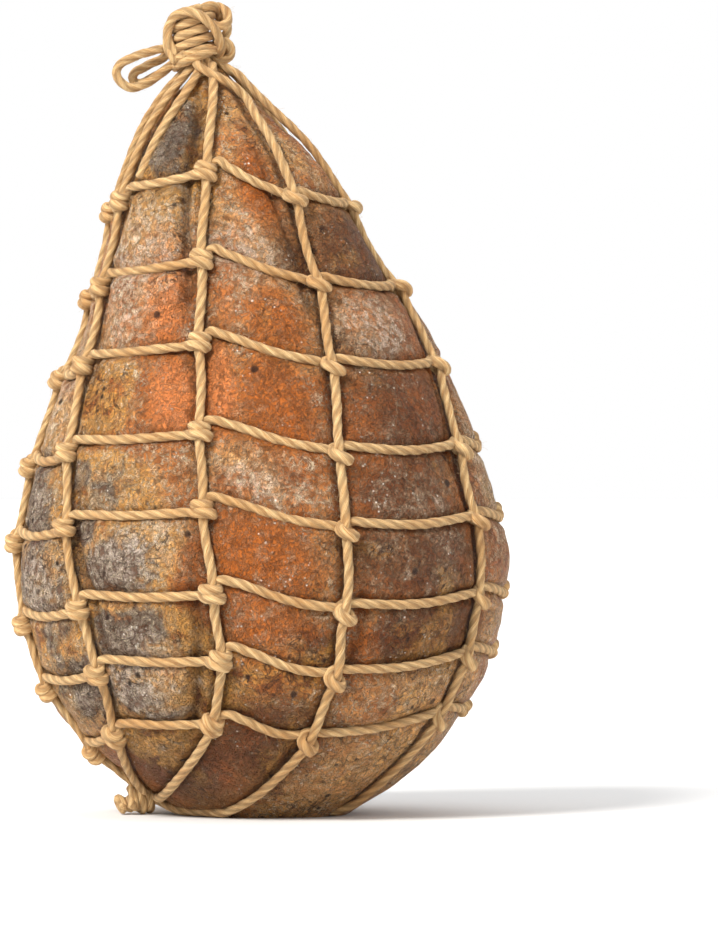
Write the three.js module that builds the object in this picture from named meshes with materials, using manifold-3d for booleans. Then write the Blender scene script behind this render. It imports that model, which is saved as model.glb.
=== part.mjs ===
// A whole cured ham in a hand-tied net of butcher's twine, standing on its flattened foot.
// Millimetres, +Z up. The front faces -Y, and the origin is the bottom centre of the object.
//
// The ham is a pear of upright elliptical sections. The net has its own coordinates on it:
// a string number runs round the ham and a row number runs down it, from the neck (row 0)
// through the hoops (rows 1, 2, 3 ...) to the gather at the foot. Every piece of twine
// takes its place from those coordinates, so the net follows the ham when a size changes.

import * as THREE from 'three';
import { ParametricGeometry } from 'three/addons/geometries/ParametricGeometry.js';
import { mergeVertices } from 'three/addons/utils/BufferGeometryUtils.js';
import Module from 'manifold-3d';

const wasm = await Module();
wasm.setup();

// ---------------------------------------------------------------- driving dimensions

const HAM_HEIGHT = 291; // foot to the tip of the neck
const HAM_WIDTH = 188; // across the widest section
const HAM_DEPTH = 174; // front to back at the widest section
const NECK_RADIUS = 4.8; // tip of the neck, inside the ring of strings
const PILLOW_RISE = 2.2; // how far the meat swells between the strings

const TWINE_DIAMETER = 4;
const TWINE_CLEARANCE = 0.3; // between any two pieces that touch
const HITCH_LENGTH = 9.4; // a hitch measured along its string
const HITCH_WIDTH = 9; // a hitch measured along its hoop
const HOOP_RAMP = 5; // beside a hitch the hoop comes down to the skin over this length
const HOOP_SLACK = 0.35; // and stands this much more off the skin between two hitches

const FOOT_GATHER_HEIGHT = 8; // the strings' lower meeting point, above the surface
const FOOT_GATHER_INSET = 0.6; // and in from the ham's left outline at that height

const BINDING_RADIUS = 9.6; // over the wraps that tie the strings above the neck
const BINDING_WRAPS = 4;
const BINDING_SHIFT = 5.5; // the binding stands this far left of the neck
const WRAP_TILT = 12; // degrees
const WRAP_TAPER = 0.04; // each wrap is this share smaller than the one below
const LUMP_RADIUS = 6.6; // knot at the upper back of the binding
const LUMP_OFFSET = [2.5, 2]; // right of and behind the tip of the neck
const BOTTOM_KNOT_RADIUS = 5;
const BOTTOM_KNOT_FORWARD = 2; // it lies this far in front of the middle

// ---------------------------------------------------------------- shape of the ham

// Share of the height, share of the half width, sideways lean of the section in mm.
const SECTIONS = [
  [0, 0.335, 3.5],
  [0.042, 0.525, 2.8],
  [0.114, 0.757, 1.7],
  [0.22, 0.942, 1],
  [0.337, 1, 1],
  [0.478, 0.909, 0],
  [0.636, 0.707, -1.5],
  [0.746, 0.55, -7.5],
  [0.88, 0.371, -13.4],
  [0.959, 0.174, -18.6],
  [1, NECK_RADIUS / (HAM_WIDTH / 2), -19],
];

// ---------------------------------------------------------------- layout of the net

// Bearing of each string in degrees, 0 at the front and 90 at the right:
// at the top hoop, at the waist and at the bottom hoop.
const STRING_BEARINGS = [
  [-90, -80, -66],
  [-64, -40, -20],
  [4, 7, 17],
  [47, 39, 42],
  [90, 71, 72],
  [118, 99, 98],
  [146, 131, 126],
  [177, 169, 158],
  [210, 213, 196],
  [244, 256, 242],
];

// How far each string's hitches sit below the hoop's own height, top hoop and bottom hoop.
const HITCH_DROPS = [
  [14, 13],
  [10, 5],
  [0, 0],
  [10, 7],
  [12, -1],
  [10, -4],
  [7, -3],
  [10, 2],
  [8, 7],
  [12, 12],
];

// Share of the height of each hoop, measured at the front string.
const HOOP_HEIGHTS = [0.851, 0.734, 0.624, 0.508, 0.408, 0.302, 0.217, 0.134];

const STRING_COUNT = STRING_BEARINGS.length;
const HOOP_COUNT = HOOP_HEIGHTS.length;
const FOOT_ROW = HOOP_COUNT + 1;
const WAIST_ROW = FOOT_ROW / 2;

// At the neck and at the foot gather the strings stand evenly, one slot each, and the
// hoop lead has a slot of its own at the neck, between the second string and the third.
const NECK_GATHER_BEARING = -85; // first string's bearing at the neck
const FOOT_GATHER_BEARING = -65; // and at the foot gather
const LEAD_SLOT = 2;
const NECK_SLOT_ANGLE = 360 / (STRING_COUNT + 1);
const FOOT_SLOT_ANGLE = 360 / STRING_COUNT;
const LEAD_STRINGS = [1.5, 1.3]; // where the hoop lead starts and ends, in string numbers
const LEAD_END_ROW = 0.9; // it stops just above the top hoop

// Mesh steps: columns between two strings, rows between two hoops.
const COLUMN_STEPS = 4;
const ROW_STEPS = 2;
const NECK_ROW_STEPS = 5;
const FOOT_ROW_STEPS = 6;
const HOOP_STEP = 14; // longest straight step of a hoop, in mm
const TWINE_SIDES = 6;
const COIL_STEPS = 12;

// ---------------------------------------------------------------- derived sizes

const HALF_WIDTH = HAM_WIDTH / 2;
const DEPTH_RATIO = HAM_DEPTH / HAM_WIDTH;
const TWINE_RADIUS = TWINE_DIAMETER / 2;
const TWINE_PITCH = TWINE_DIAMETER + TWINE_CLEARANCE;
const STRING_LIFT = TWINE_RADIUS + TWINE_CLEARANCE; // string centre above the skin
const CROSSING_LIFT = STRING_LIFT + TWINE_PITCH; // hoop centre where it crosses a string
const NECK_RING_RADIUS = Math.max(
  NECK_RADIUS + STRING_LIFT,
  TWINE_PITCH / (2 * Math.sin(Math.PI / (STRING_COUNT + 1))),
);
const GROOVE_TOP = 6 * TWINE_DIAMETER; // strings press into the foot below this height
const FOOT_CUT = 1.5; // the pear is made this much too long at the foot and cut level
const FOOT_RING_SPREAD = 1.25; // room between the strings' ends, as a share of their pitch
const FOOT_RING_RADIUS =
  (FOOT_RING_SPREAD * TWINE_PITCH) / (2 * Math.sin(Math.PI / STRING_COUNT));

const NECK_TIP = new THREE.Vector3(SECTIONS.at(-1)[2], 0, HAM_HEIGHT);
const FOOT_GATHER = new THREE.Vector3(footGatherSide(), 0, FOOT_GATHER_HEIGHT);
const NET_AXIS = NECK_TIP.clone().sub(FOOT_GATHER).normalize();
const CORE_HEIGHT = 0.42 * HAM_HEIGHT; // the skin is looked for outwards from here
const CORE = netAxisPoint(CORE_HEIGHT);
const HALVINGS = 36; // enough for a search by halving to settle

// ---------------------------------------------------------------- ham surface

function footGatherSide() {
  const { halfWidth, lean } = sectionAt(FOOT_GATHER_HEIGHT);
  return lean - halfWidth + FOOT_GATHER_INSET;
}

function netAxisPoint(height) {
  return FOOT_GATHER.clone().addScaledVector(NET_AXIS, (height - FOOT_GATHER.z) / NET_AXIS.z);
}

// Smooth curve through rows of [key, value, value ...], with no overshoot between rows.
// It returns the values at a key.
function smoothThrough(rows, key) {
  let low = 0;
  while (low < rows.length - 2 && key > rows[low + 1][0]) {
    low += 1;
  }
  const [start, end] = [rows[low], rows[low + 1]];
  const span = end[0] - start[0];
  const t = (key - start[0]) / span;
  return start.slice(1).map((value, index) => {
    const column = index + 1;
    const startSlope = slopeAt(rows, low, column) * span;
    const endSlope = slopeAt(rows, low + 1, column) * span;
    return hermite(value, end[column], startSlope, endSlope, t);
  });
}

function slopeAt(rows, row, column) {
  const rise = (from) => rows[from + 1][column] - rows[from][column];
  const slope = (from) => rise(from) / (rows[from + 1][0] - rows[from][0]);
  if (row === 0) {
    return slope(0);
  }
  if (row === rows.length - 1) {
    return slope(row - 1);
  }
  const [left, right] = [slope(row - 1), slope(row)];
  return left * right > 0 ? (2 * left * right) / (left + right) : 0;
}

function hermite(start, end, startSlope, endSlope, t) {
  return (
    start * (1 + 2 * t) * (1 - t) ** 2 +
    end * t ** 2 * (3 - 2 * t) +
    startSlope * t * (1 - t) ** 2 +
    endSlope * t ** 2 * (t - 1)
  );
}

function sectionAt(height) {
  const [width, lean] = smoothThrough(SECTIONS, height / HAM_HEIGHT);
  const halfWidth = width * HALF_WIDTH;
  return { halfWidth, halfDepth: halfWidth * DEPTH_RATIO, lean };
}

// Below 1 inside the section at the point's height, above 1 outside it.
function sectionShare(point) {
  const { halfWidth, halfDepth, lean } = sectionAt(point.z);
  return ((point.x - lean) / halfWidth) ** 2 + (point.y / halfDepth) ** 2;
}

function isInside(point) {
  return point.z > -FOOT_CUT && point.z < HAM_HEIGHT && sectionShare(point) < 1;
}

function levelDirection(bearing) {
  const angle = THREE.MathUtils.degToRad(bearing);
  return new THREE.Vector3(Math.sin(angle), -Math.cos(angle), 0);
}

// The skin seen from the core: angle 0 looks at the neck tip, 180 at the foot gather.
function skinPoint(angle, bearing) {
  const turn = THREE.MathUtils.degToRad(angle);
  const direction = NET_AXIS.clone().multiplyScalar(Math.cos(turn));
  direction.addScaledVector(levelDirection(bearing), Math.sin(turn)).normalize();
  let near = 0;
  let far = HAM_HEIGHT;
  for (let halving = 0; halving < HALVINGS; halving += 1) {
    const middle = (near + far) / 2;
    if (isInside(CORE.clone().addScaledVector(direction, middle))) {
      near = middle;
    } else {
      far = middle;
    }
  }
  return CORE.clone().addScaledVector(direction, near);
}

// Angle from the core at which the skin of one bearing reaches a height.
function angleAtHeight(height, bearing) {
  const { halfWidth, halfDepth, lean } = sectionAt(height);
  const level = levelDirection(bearing);
  const offset = netAxisPoint(height).x - lean;
  const squared = (level.x / halfWidth) ** 2 + (level.y / halfDepth) ** 2;
  const linear = (offset * level.x) / halfWidth ** 2;
  const constant = (offset / halfWidth) ** 2 - 1;
  const reach = (-linear + Math.sqrt(linear ** 2 - squared * constant)) / squared;
  return THREE.MathUtils.radToDeg(Math.atan2(reach, (height - CORE.z) / NET_AXIS.z));
}

function skinNormal(point) {
  const step = 0.5;
  const { halfWidth, halfDepth, lean } = sectionAt(point.z);
  const above = sectionShare(point.clone().setZ(point.z + step));
  const below = sectionShare(point.clone().setZ(point.z - step));
  const across = (2 * (point.x - lean)) / halfWidth ** 2;
  const through = (2 * point.y) / halfDepth ** 2;
  return new THREE.Vector3(across, through, (above - below) / (2 * step)).normalize();
}

// ---------------------------------------------------------------- net coordinates

// Smooth value round the net from one value per string; the last runs on into the first.
function aroundNet(values, string, turn = 0) {
  const lap = Math.floor(string / STRING_COUNT);
  const base = Math.floor(string);
  const t = string - base;
  const pick = (index) => {
    const wrapped = THREE.MathUtils.euclideanModulo(index, STRING_COUNT);
    return values[wrapped] + turn * Math.floor(index / STRING_COUNT - lap);
  };
  const [before, start, end, after] = [-1, 0, 1, 2].map((step) => pick(base + step));
  return hermite(start, end, (end - before) / 2, (after - start) / 2, t);
}

function neckBearing(string) {
  const slot = string < LEAD_SLOT ? string : string + 1;
  return NECK_GATHER_BEARING + slot * NECK_SLOT_ANGLE;
}

function stringBearing(string, row) {
  const [top, waist, bottom] = STRING_BEARINGS[string];
  const rows = [
    [0, neckBearing(string)],
    [1, top],
    [WAIST_ROW, waist],
    [HOOP_COUNT, bottom],
    [FOOT_ROW, FOOT_GATHER_BEARING + string * FOOT_SLOT_ANGLE],
  ];
  return smoothThrough(rows, row)[0];
}

function bearingAt(string, row) {
  const bearings = STRING_BEARINGS.map((unused, index) => stringBearing(index, row));
  return aroundNet(bearings, string, 360);
}

function hoopHeight(hoop, string) {
  const lowering = hoop / (HOOP_COUNT - 1);
  const drops = HITCH_DROPS.map(([top, bottom]) => top + (bottom - top) * lowering);
  return HOOP_HEIGHTS[hoop] * HAM_HEIGHT - aroundNet(drops, string);
}

const columnCache = new Map();

// Rows of [row number, angle from the core] for one column of the net.
function columnAngles(string) {
  if (!columnCache.has(string)) {
    const hoops = HOOP_HEIGHTS.map((unused, hoop) => {
      const row = hoop + 1;
      return [row, angleAtHeight(hoopHeight(hoop, string), bearingAt(string, row))];
    });
    columnCache.set(string, [[0, 0], ...hoops, [FOOT_ROW, 180]]);
  }
  return columnCache.get(string);
}

// How far the meat swells out of the smooth pear: nothing under the strings or the foot.
function pillow(string, row) {
  if (row > HOOP_COUNT) {
    return 0;
  }
  return PILLOW_RISE * Math.sin(Math.PI * row) ** 2 * Math.sin(Math.PI * string) ** 2;
}

function netPoint(string, row, lift = 0) {
  const angle = smoothThrough(columnAngles(string), row)[0];
  const point = skinPoint(angle, bearingAt(string, row));
  return point.addScaledVector(skinNormal(point), pillow(string, row) + lift);
}

// Row numbers of the mesh: finer at the neck and at the foot, where the skin curves most.
function meshRows() {
  const rows = [0];
  for (let hoop = 0; hoop < FOOT_ROW; hoop += 1) {
    const steps = { 0: NECK_ROW_STEPS, [HOOP_COUNT]: FOOT_ROW_STEPS }[hoop] ?? ROW_STEPS;
    for (let step = 1; step <= steps; step += 1) {
      rows.push(hoop + step / steps);
    }
  }
  return rows;
}

// ---------------------------------------------------------------- solids

function toSolid(geometry) {
  const bare = geometry.clone();
  bare.deleteAttribute('normal');
  bare.deleteAttribute('uv');
  const merged = mergeVertices(bare, 1e-4);
  const index = merged.index.array;
  const triangles = [];
  for (let corner = 0; corner < index.length; corner += 3) {
    const [a, b, c] = index.slice(corner, corner + 3);
    if (a !== b && b !== c && c !== a) {
      triangles.push(a, b, c);
    }
  }
  const mesh = new wasm.Mesh({
    numProp: 3,
    vertProperties: new Float32Array(merged.attributes.position.array),
    triVerts: new Uint32Array(triangles),
  });
  return new wasm.Manifold(mesh);
}

function toGeometry(solid) {
  const { vertProperties, triVerts } = solid.getMesh();
  const geometry = new THREE.BufferGeometry();
  geometry.setAttribute('position', new THREE.BufferAttribute(vertProperties, 3));
  geometry.setIndex(new THREE.BufferAttribute(triVerts, 1));
  return geometry;
}

// Path whose steps fall on the route's own points.
function steppedPath(route, closed) {
  const path = new THREE.CatmullRomCurve3(route, closed);
  path.getUtoTmapping = (share) => share;
  return path;
}

function twineTube(route, radius = TWINE_RADIUS) {
  const outline = new THREE.Shape();
  outline.absarc(0, 0, radius, 0, 2 * Math.PI);
  const section = new THREE.Shape(outline.getSpacedPoints(TWINE_SIDES).slice(0, TWINE_SIDES));
  const options = { steps: route.length - 1, extrudePath: steppedPath(route, false) };
  return toSolid(new THREE.ExtrudeGeometry(section, options));
}

function ball(centre, radius) {
  const geometry = new THREE.SphereGeometry(radius, 9, 6);
  return toSolid(geometry.translate(centre.x, centre.y, centre.z));
}

// ---------------------------------------------------------------- routes of the twine

function aboveFloor(point) {
  return point.setZ(Math.max(point.z, STRING_LIFT));
}

function neckStart(bearing) {
  const start = NECK_TIP.clone().addScaledVector(levelDirection(bearing), NECK_RING_RADIUS);
  return start.setZ(HAM_HEIGHT);
}

function stringPoint(string, row) {
  return aboveFloor(netPoint(string, row, STRING_LIFT));
}

// Row at which a string comes within the foot ring, where the strings meet side by side.
function footRingRow(string) {
  let above = HOOP_COUNT;
  let below = FOOT_ROW;
  for (let halving = 0; halving < HALVINGS; halving += 1) {
    const middle = (above + below) / 2;
    if (stringPoint(string, middle).distanceTo(FOOT_GATHER) > FOOT_RING_RADIUS) {
      above = middle;
    } else {
      below = middle;
    }
  }
  return above;
}

function stringRoute(string) {
  const lastRow = footRingRow(string);
  const shortestStep = 0.05;
  const rows = meshRows().filter((row) => row > 0 && row < lastRow - shortestStep);
  const onSkin = [...rows, lastRow].map((row) => stringPoint(string, row));
  return [neckStart(neckBearing(string)), ...onSkin];
}

function leadRoute() {
  const steps = 5;
  const route = [neckStart(NECK_GATHER_BEARING + LEAD_SLOT * NECK_SLOT_ANGLE)];
  for (let step = 1; step <= steps; step += 1) {
    const string = THREE.MathUtils.lerp(...LEAD_STRINGS, step / steps);
    const row = (LEAD_END_ROW * step) / steps;
    route.push(netPoint(string, row, STRING_LIFT + TWINE_CLEARANCE));
  }
  return route;
}

// Stations of a hoop from one string to the next, as [share of the way, lift] pairs.
// The hoop rides over the string at the crossing and comes down to the skin beside it.
function hoopStations(string, row) {
  const span = netPoint(string, row).distanceTo(netPoint(string + 1, row));
  const shoulder = Math.min(HITCH_WIDTH / 2 / span, 0.2);
  const landing = Math.min((HITCH_WIDTH / 2 + HOOP_RAMP) / span, 0.42);
  const middles = Math.ceil(((1 - 2 * landing) * span) / HOOP_STEP);
  const low = STRING_LIFT + HOOP_SLACK;
  const stations = [[0, CROSSING_LIFT], [shoulder, CROSSING_LIFT]];
  for (let step = 0; step <= middles; step += 1) {
    stations.push([landing + ((1 - 2 * landing) * step) / middles, low]);
  }
  return [...stations, [1 - shoulder, CROSSING_LIFT]];
}

function hoopRoute(row) {
  return STRING_BEARINGS.flatMap((unused, string) =>
    hoopStations(string, row).map(([share, lift]) => ({
      point: netPoint(string + share, row, lift),
      string: share === 0 ? string : null,
    })),
  );
}

// ---------------------------------------------------------------- pieces

function hamSolid(stringRoutes) {
  const rows = meshRows();
  const columns = STRING_COUNT * COLUMN_STEPS;
  const place = (across, down, target) => {
    const column = Math.round((1 - across) * columns) % columns;
    const row = rows[Math.round(down * (rows.length - 1))];
    target.copy(netPoint(column / COLUMN_STEPS, row));
  };
  const whole = toSolid(new ParametricGeometry(place, columns, rows.length - 1));
  const pear = whole.trimByPlane([0, 0, 1], 0);
  return stringRoutes.reduce((ham, route) => ham.subtract(footGroove(route)), pear);
}

// Groove that a string presses into the foot: as wide as the string, and open downwards.
function footGroove(route) {
  const lowPoints = route.filter((point) => point.z < GROOVE_TOP);
  const [before, last] = lowPoints.slice(-2);
  const beyond = last.clone().add(last.clone().sub(before).setLength(TWINE_CLEARANCE));
  const bed = [...lowPoints, beyond];
  const opening = bed.map((point) => point.clone().setZ(point.z - TWINE_RADIUS));
  return twineTube(bed, STRING_LIFT).add(twineTube(opening, STRING_LIFT));
}

// Direction of a string where it passes a row, level with the skin.
function stringDirection(string, row) {
  const outward = skinNormal(netPoint(string, row));
  const shortStep = 0.05;
  const below = netPoint(string, row + shortStep).sub(netPoint(string, row));
  return below.addScaledVector(outward, -below.dot(outward)).normalize();
}

// A hoop is one ring of twine. Its hitches are tied in it, so at each string the ring
// swells along the string to the length of the hitch.
function hoopSolid(row) {
  const route = hoopRoute(row);
  const path = steppedPath(route.map(({ point }) => point), true);
  const ring = new THREE.TubeGeometry(path, route.length, TWINE_RADIUS, TWINE_SIDES, true);
  const positions = ring.attributes.position;
  const vertex = new THREE.Vector3();
  for (let index = 0; index < positions.count; index += 1) {
    const station = route[Math.floor(index / (TWINE_SIDES + 1)) % route.length];
    if (station.string !== null) {
      const along = stringDirection(station.string, row);
      vertex.fromBufferAttribute(positions, index);
      const reach = vertex.clone().sub(station.point).dot(along);
      vertex.addScaledVector(along, reach * (HITCH_LENGTH / TWINE_DIAMETER - 1));
      positions.setXYZ(index, vertex.x, vertex.y, vertex.z);
    }
  }
  return toSolid(ring);
}

// A round coil of twine lying across the given axis.
function coil(centre, radius, axis) {
  const geometry = new THREE.TorusGeometry(radius, TWINE_RADIUS, TWINE_SIDES, COIL_STEPS);
  const upright = new THREE.Vector3(0, 0, 1);
  geometry.applyQuaternion(new THREE.Quaternion().setFromUnitVectors(upright, axis));
  geometry.translate(centre.x, centre.y, centre.z);
  return toSolid(geometry);
}

// The strings are gathered above the neck and bound with level wraps. A strand crosses the
// front of the wraps, and the last turns are knotted into a lump at the upper back.
function neckBinding() {
  const coilRadius = BINDING_RADIUS - TWINE_RADIUS;
  const tilt = THREE.MathUtils.degToRad(WRAP_TILT);
  const wrapAxis = new THREE.Vector3(-Math.sin(tilt), 0, Math.cos(tilt));
  const foot = HAM_HEIGHT + STRING_LIFT;
  const firstWrap = foot + TWINE_RADIUS + coilRadius * Math.sin(tilt);
  const height = BINDING_WRAPS * TWINE_DIAMETER + 2 * coilRadius * Math.sin(tilt);
  const middle = new THREE.Vector3(NECK_TIP.x - BINDING_SHIFT, 0, foot + height / 2);
  const core = new THREE.CylinderGeometry(0.8 * coilRadius, coilRadius, height, COIL_STEPS);
  core.rotateX(Math.PI / 2).translate(middle.x, middle.y, middle.z);
  let binding = toSolid(core);
  for (let wrap = 0; wrap < BINDING_WRAPS; wrap += 1) {
    const centre = middle.clone().setZ(firstWrap + wrap * TWINE_DIAMETER);
    binding = binding.add(coil(centre, coilRadius * (1 - WRAP_TAPER * wrap), wrapAxis));
  }
  const [right, back] = LUMP_OFFSET;
  const lumpCentre = new THREE.Vector3(NECK_TIP.x + right, back, foot + height);
  binding = binding.add(ball(lumpCentre, LUMP_RADIUS));
  return binding.add(twineTube(crossingRoute(middle, foot, height)));
}

// Over the binding from its lower left, across the top and down to its lower right.
function crossingRoute(middle, foot, height) {
  const reach = BINDING_RADIUS + TWINE_RADIUS / 2;
  // Bearing, share of the binding's height and share of the reach.
  const turns = [
    [-100, 0.1, 0.96],
    [-82, 0.5, 1],
    [-62, 0.86, 0.96],
    [-30, 0.98, 0.92],
    [5, 0.84, 0.98],
    [35, 0.55, 1],
    [62, 0.25, 0.98],
  ];
  return turns.map(([bearing, lift, spread]) => {
    const point = middle.clone().addScaledVector(levelDirection(bearing), reach * spread);
    return point.setZ(foot + TWINE_RADIUS + lift * height);
  });
}

// A bight of twine that sticks out of the binding to the left. Its points are set by hand:
// distance left of the binding, towards the back, and above the tip of the neck.
const OUTER_BIGHT = [
  [1.2, -1.6, 7.2],
  [4.8, -2.2, 6.4],
  [10, -2.8, 4.8],
  [14.6, -3.2, 2.8],
  [17.8, -3.4, 0.6],
  [18.8, -3.6, -2],
  [17.6, -3.6, -5],
  [15, -3.4, -7.4],
  [11.8, -3.2, -7.9],
  [8, -2.8, -6.6],
  [4.2, -2.2, -4.4],
  [0.9, -1.6, -1.8],
];

const INNER_BIGHT = [
  [0.8, 3.4, 4],
  [4.6, 3.4, 2.2],
  [8.5, 3.2, 0.2],
  [11.5, 3, -1.6],
  [12.6, 2.8, -4],
  [11, 2.8, -6],
  [8, 3, -5.4],
  [4.6, 3.2, -3.6],
  [1.4, 3.4, -1.6],
];

function bightRoute(points) {
  const left = NECK_TIP.x - BINDING_SHIFT - BINDING_RADIUS - TWINE_RADIUS - TWINE_CLEARANCE;
  return points.map(([out, back, up]) => new THREE.Vector3(left - out, back, HAM_HEIGHT + up));
}

// The strings' ends are knotted beside the foot gather, and the knot lies on the surface.
function bottomKnot(stringPoints) {
  const radius = BOTTOM_KNOT_RADIUS;
  const gap = radius + STRING_LIFT;
  const coilAxis = new THREE.Vector3(1, -1, 1).normalize();
  const place = [FOOT_GATHER.x, -BOTTOM_KNOT_FORWARD, radius + TWINE_CLEARANCE];
  const centre = new THREE.Vector3(...place);
  const meetsString = () => stringPoints.some((point) => point.distanceTo(centre) < gap);
  while (meetsString() || touchesHam(centre, gap)) {
    centre.x -= TWINE_CLEARANCE;
  }
  return ball(centre, radius).add(coil(centre, radius - TWINE_RADIUS, coilAxis));
}

// Whether the ham reaches within a gap of a point, to its right or above it.
function touchesHam(centre, gap) {
  const beside = centre.clone().setX(centre.x + gap);
  return isInside(beside) || isInside(centre.clone().setZ(centre.z + gap));
}

// ---------------------------------------------------------------- assembly

const TWINE_COLOUR = 0xc49e68;
const SKIN_COLOUR = 0x8a5632;

function namedMesh(name, solid, colour, roughness) {
  const material = new THREE.MeshStandardMaterial({ color: colour, roughness, metalness: 0 });
  const mesh = new THREE.Mesh(toGeometry(solid), material);
  mesh.name = name;
  return mesh;
}

const ham = new THREE.Group();
const addTwine = (name, solid) => ham.add(namedMesh(name, solid, TWINE_COLOUR, 0.85));

const stringRoutes = STRING_BEARINGS.map((unused, string) => stringRoute(string));
ham.add(namedMesh('cured_ham', hamSolid(stringRoutes), SKIN_COLOUR, 0.7));
stringRoutes.forEach((route, string) => addTwine(`string_${string + 1}`, twineTube(route)));
for (let hoop = 1; hoop <= HOOP_COUNT; hoop += 1) {
  addTwine(`hoop_${hoop}`, hoopSolid(hoop));
}
addTwine('hoop_lead', twineTube(leadRoute()));
addTwine('neck_binding', neckBinding());
addTwine('hanging_bight_outer', twineTube(bightRoute(OUTER_BIGHT)));
addTwine('hanging_bight_inner', twineTube(bightRoute(INNER_BIGHT)));
addTwine('bottom_knot', bottomKnot(stringRoutes.flat()));

const box = new THREE.Box3().setFromObject(ham);
const middle = box.getCenter(new THREE.Vector3());
ham.position.set(-middle.x, -middle.y, -box.min.z);

export default ham;
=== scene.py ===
import math

import bpy
import numpy as np
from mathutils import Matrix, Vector


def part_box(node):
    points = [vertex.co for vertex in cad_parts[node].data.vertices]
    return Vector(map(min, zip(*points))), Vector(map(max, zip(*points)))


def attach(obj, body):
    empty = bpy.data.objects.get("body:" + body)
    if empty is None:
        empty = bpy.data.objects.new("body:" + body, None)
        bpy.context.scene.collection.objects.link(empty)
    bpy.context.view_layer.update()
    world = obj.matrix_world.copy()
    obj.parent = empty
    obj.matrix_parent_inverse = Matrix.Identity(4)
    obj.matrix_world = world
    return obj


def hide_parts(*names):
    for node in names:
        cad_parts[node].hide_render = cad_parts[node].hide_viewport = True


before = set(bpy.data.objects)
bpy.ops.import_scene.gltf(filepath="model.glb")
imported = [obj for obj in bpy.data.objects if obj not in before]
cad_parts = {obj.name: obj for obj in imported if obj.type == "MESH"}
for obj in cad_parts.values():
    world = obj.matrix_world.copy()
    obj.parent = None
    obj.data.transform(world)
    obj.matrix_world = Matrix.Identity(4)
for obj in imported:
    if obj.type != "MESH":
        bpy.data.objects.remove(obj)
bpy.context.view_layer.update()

# A whole cured ham in a hand-tied net of butcher's twine, standing on its flattened foot.
# Shapes are worked out in millimetres on the same pear and the same net as the CAD part,
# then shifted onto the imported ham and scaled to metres.

MM = 0.001
RANDOM = np.random.default_rng(7)

# ---- Sizes in mm

HAM_HEIGHT = 291.0
HAM_WIDTH = 188.0
HAM_DEPTH = 174.0
NECK_RADIUS = 4.8
TWINE_RADIUS = 1.9
CORD_DIAMETER = 4.0
TWINE_CLEARANCE = 0.3
FOOT_GATHER_HEIGHT = 8.0
FOOT_GATHER_INSET = 0.6
FOOT_CUT = 1.5
BINDING_RADIUS = 9.6
BINDING_SHIFT = 5.5

# Share of the height, share of the half width, sideways lean of the section.
SECTIONS = np.array([
    [0, 0.335, 3.5], [0.042, 0.525, 2.8], [0.114, 0.757, 1.7], [0.22, 0.942, 1], [0.337, 1, 1],
    [0.478, 0.909, 0], [0.636, 0.707, -1.5], [0.746, 0.55, -7.5], [0.88, 0.371, -13.4],
    [0.959, 0.174, -18.6], [1, NECK_RADIUS / (HAM_WIDTH / 2), -19],
])

# Bearing of each string in degrees (0 front, 90 right) at the top hoop, waist, bottom hoop.
STRING_BEARINGS = np.array([
    [-90, -80, -66], [-64, -40, -20], [4, 7, 17], [47, 39, 42], [90, 71, 72], [118, 99, 98],
    [146, 131, 126], [177, 169, 158], [210, 213, 196], [244, 256, 242],
], float)

# How far each string's hitches sit below the hoop's own height, top hoop and bottom hoop.
HITCH_DROPS = np.array([
    [14, 13], [10, 5], [0, 0], [10, 7], [12, -1], [10, -4], [7, -3], [10, 2], [8, 7], [12, 12],
], float)

HOOP_HEIGHTS = [0.851, 0.734, 0.624, 0.508, 0.408, 0.302, 0.217, 0.134]

STRINGS = len(STRING_BEARINGS)
HOOPS = len(HOOP_HEIGHTS)
FOOT_ROW = HOOPS + 1
WAIST_ROW = FOOT_ROW / 2
NECK_GATHER_BEARING = -85.0
FOOT_GATHER_BEARING = -65.0
LEAD_SLOT = 2
NECK_SLOT_ANGLE = 360.0 / (STRINGS + 1)
FOOT_SLOT_ANGLE = 360.0 / STRINGS
HALF_WIDTH = HAM_WIDTH / 2
DEPTH_RATIO = HAM_DEPTH / HAM_WIDTH

# ---- Smooth curves and noise


def smooth_through(keys, values, query):
    """Monotone curve through (key, value) rows. values is (K,) or (K, N) for N queries."""
    keys = np.asarray(keys, float)
    values = np.asarray(values, float)
    query = np.asarray(query, float)
    if values.ndim == 1:
        values = np.repeat(values[:, None], query.size, axis=1)
    spans = np.diff(keys)
    slopes = np.diff(values, axis=0) / spans[:, None]
    left, right = slopes[:-1], slopes[1:]
    same_way = left * right > 0
    total = np.where(same_way, left + right, 1.0)
    inner = np.where(same_way, 2 * left * right / total, 0.0)
    tangents = np.concatenate([slopes[:1], inner, slopes[-1:]])
    low = np.searchsorted(keys[1:-1], query, side="left")
    pick = np.arange(query.size)
    span = spans[low]
    t = (query - keys[low]) / span
    return hermite(
        values[low, pick], values[low + 1, pick],
        tangents[low, pick] * span, tangents[low + 1, pick] * span, t,
    )


def hermite(start, end, start_slope, end_slope, t):
    return (
        start * (1 + 2 * t) * (1 - t) ** 2
        + end * t ** 2 * (3 - 2 * t)
        + start_slope * t * (1 - t) ** 2
        + end_slope * t ** 2 * (t - 1)
    )


def smoothstep(low, high, value):
    t = np.clip((value - low) / (high - low), 0.0, 1.0)
    return t * t * (3 - 2 * t)


def bell(distance, width):
    return np.exp(-(distance / width) ** 2)


CELL_PRIMES = np.array([73856093, 19349663, 83492791])
SEED_PRIME = 2654435761
MIXING_PRIME = 1274126177
SEED_SHIFT = 7.13
LAYER_WEIGHTS = (1.0, 0.5, 0.25)


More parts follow.
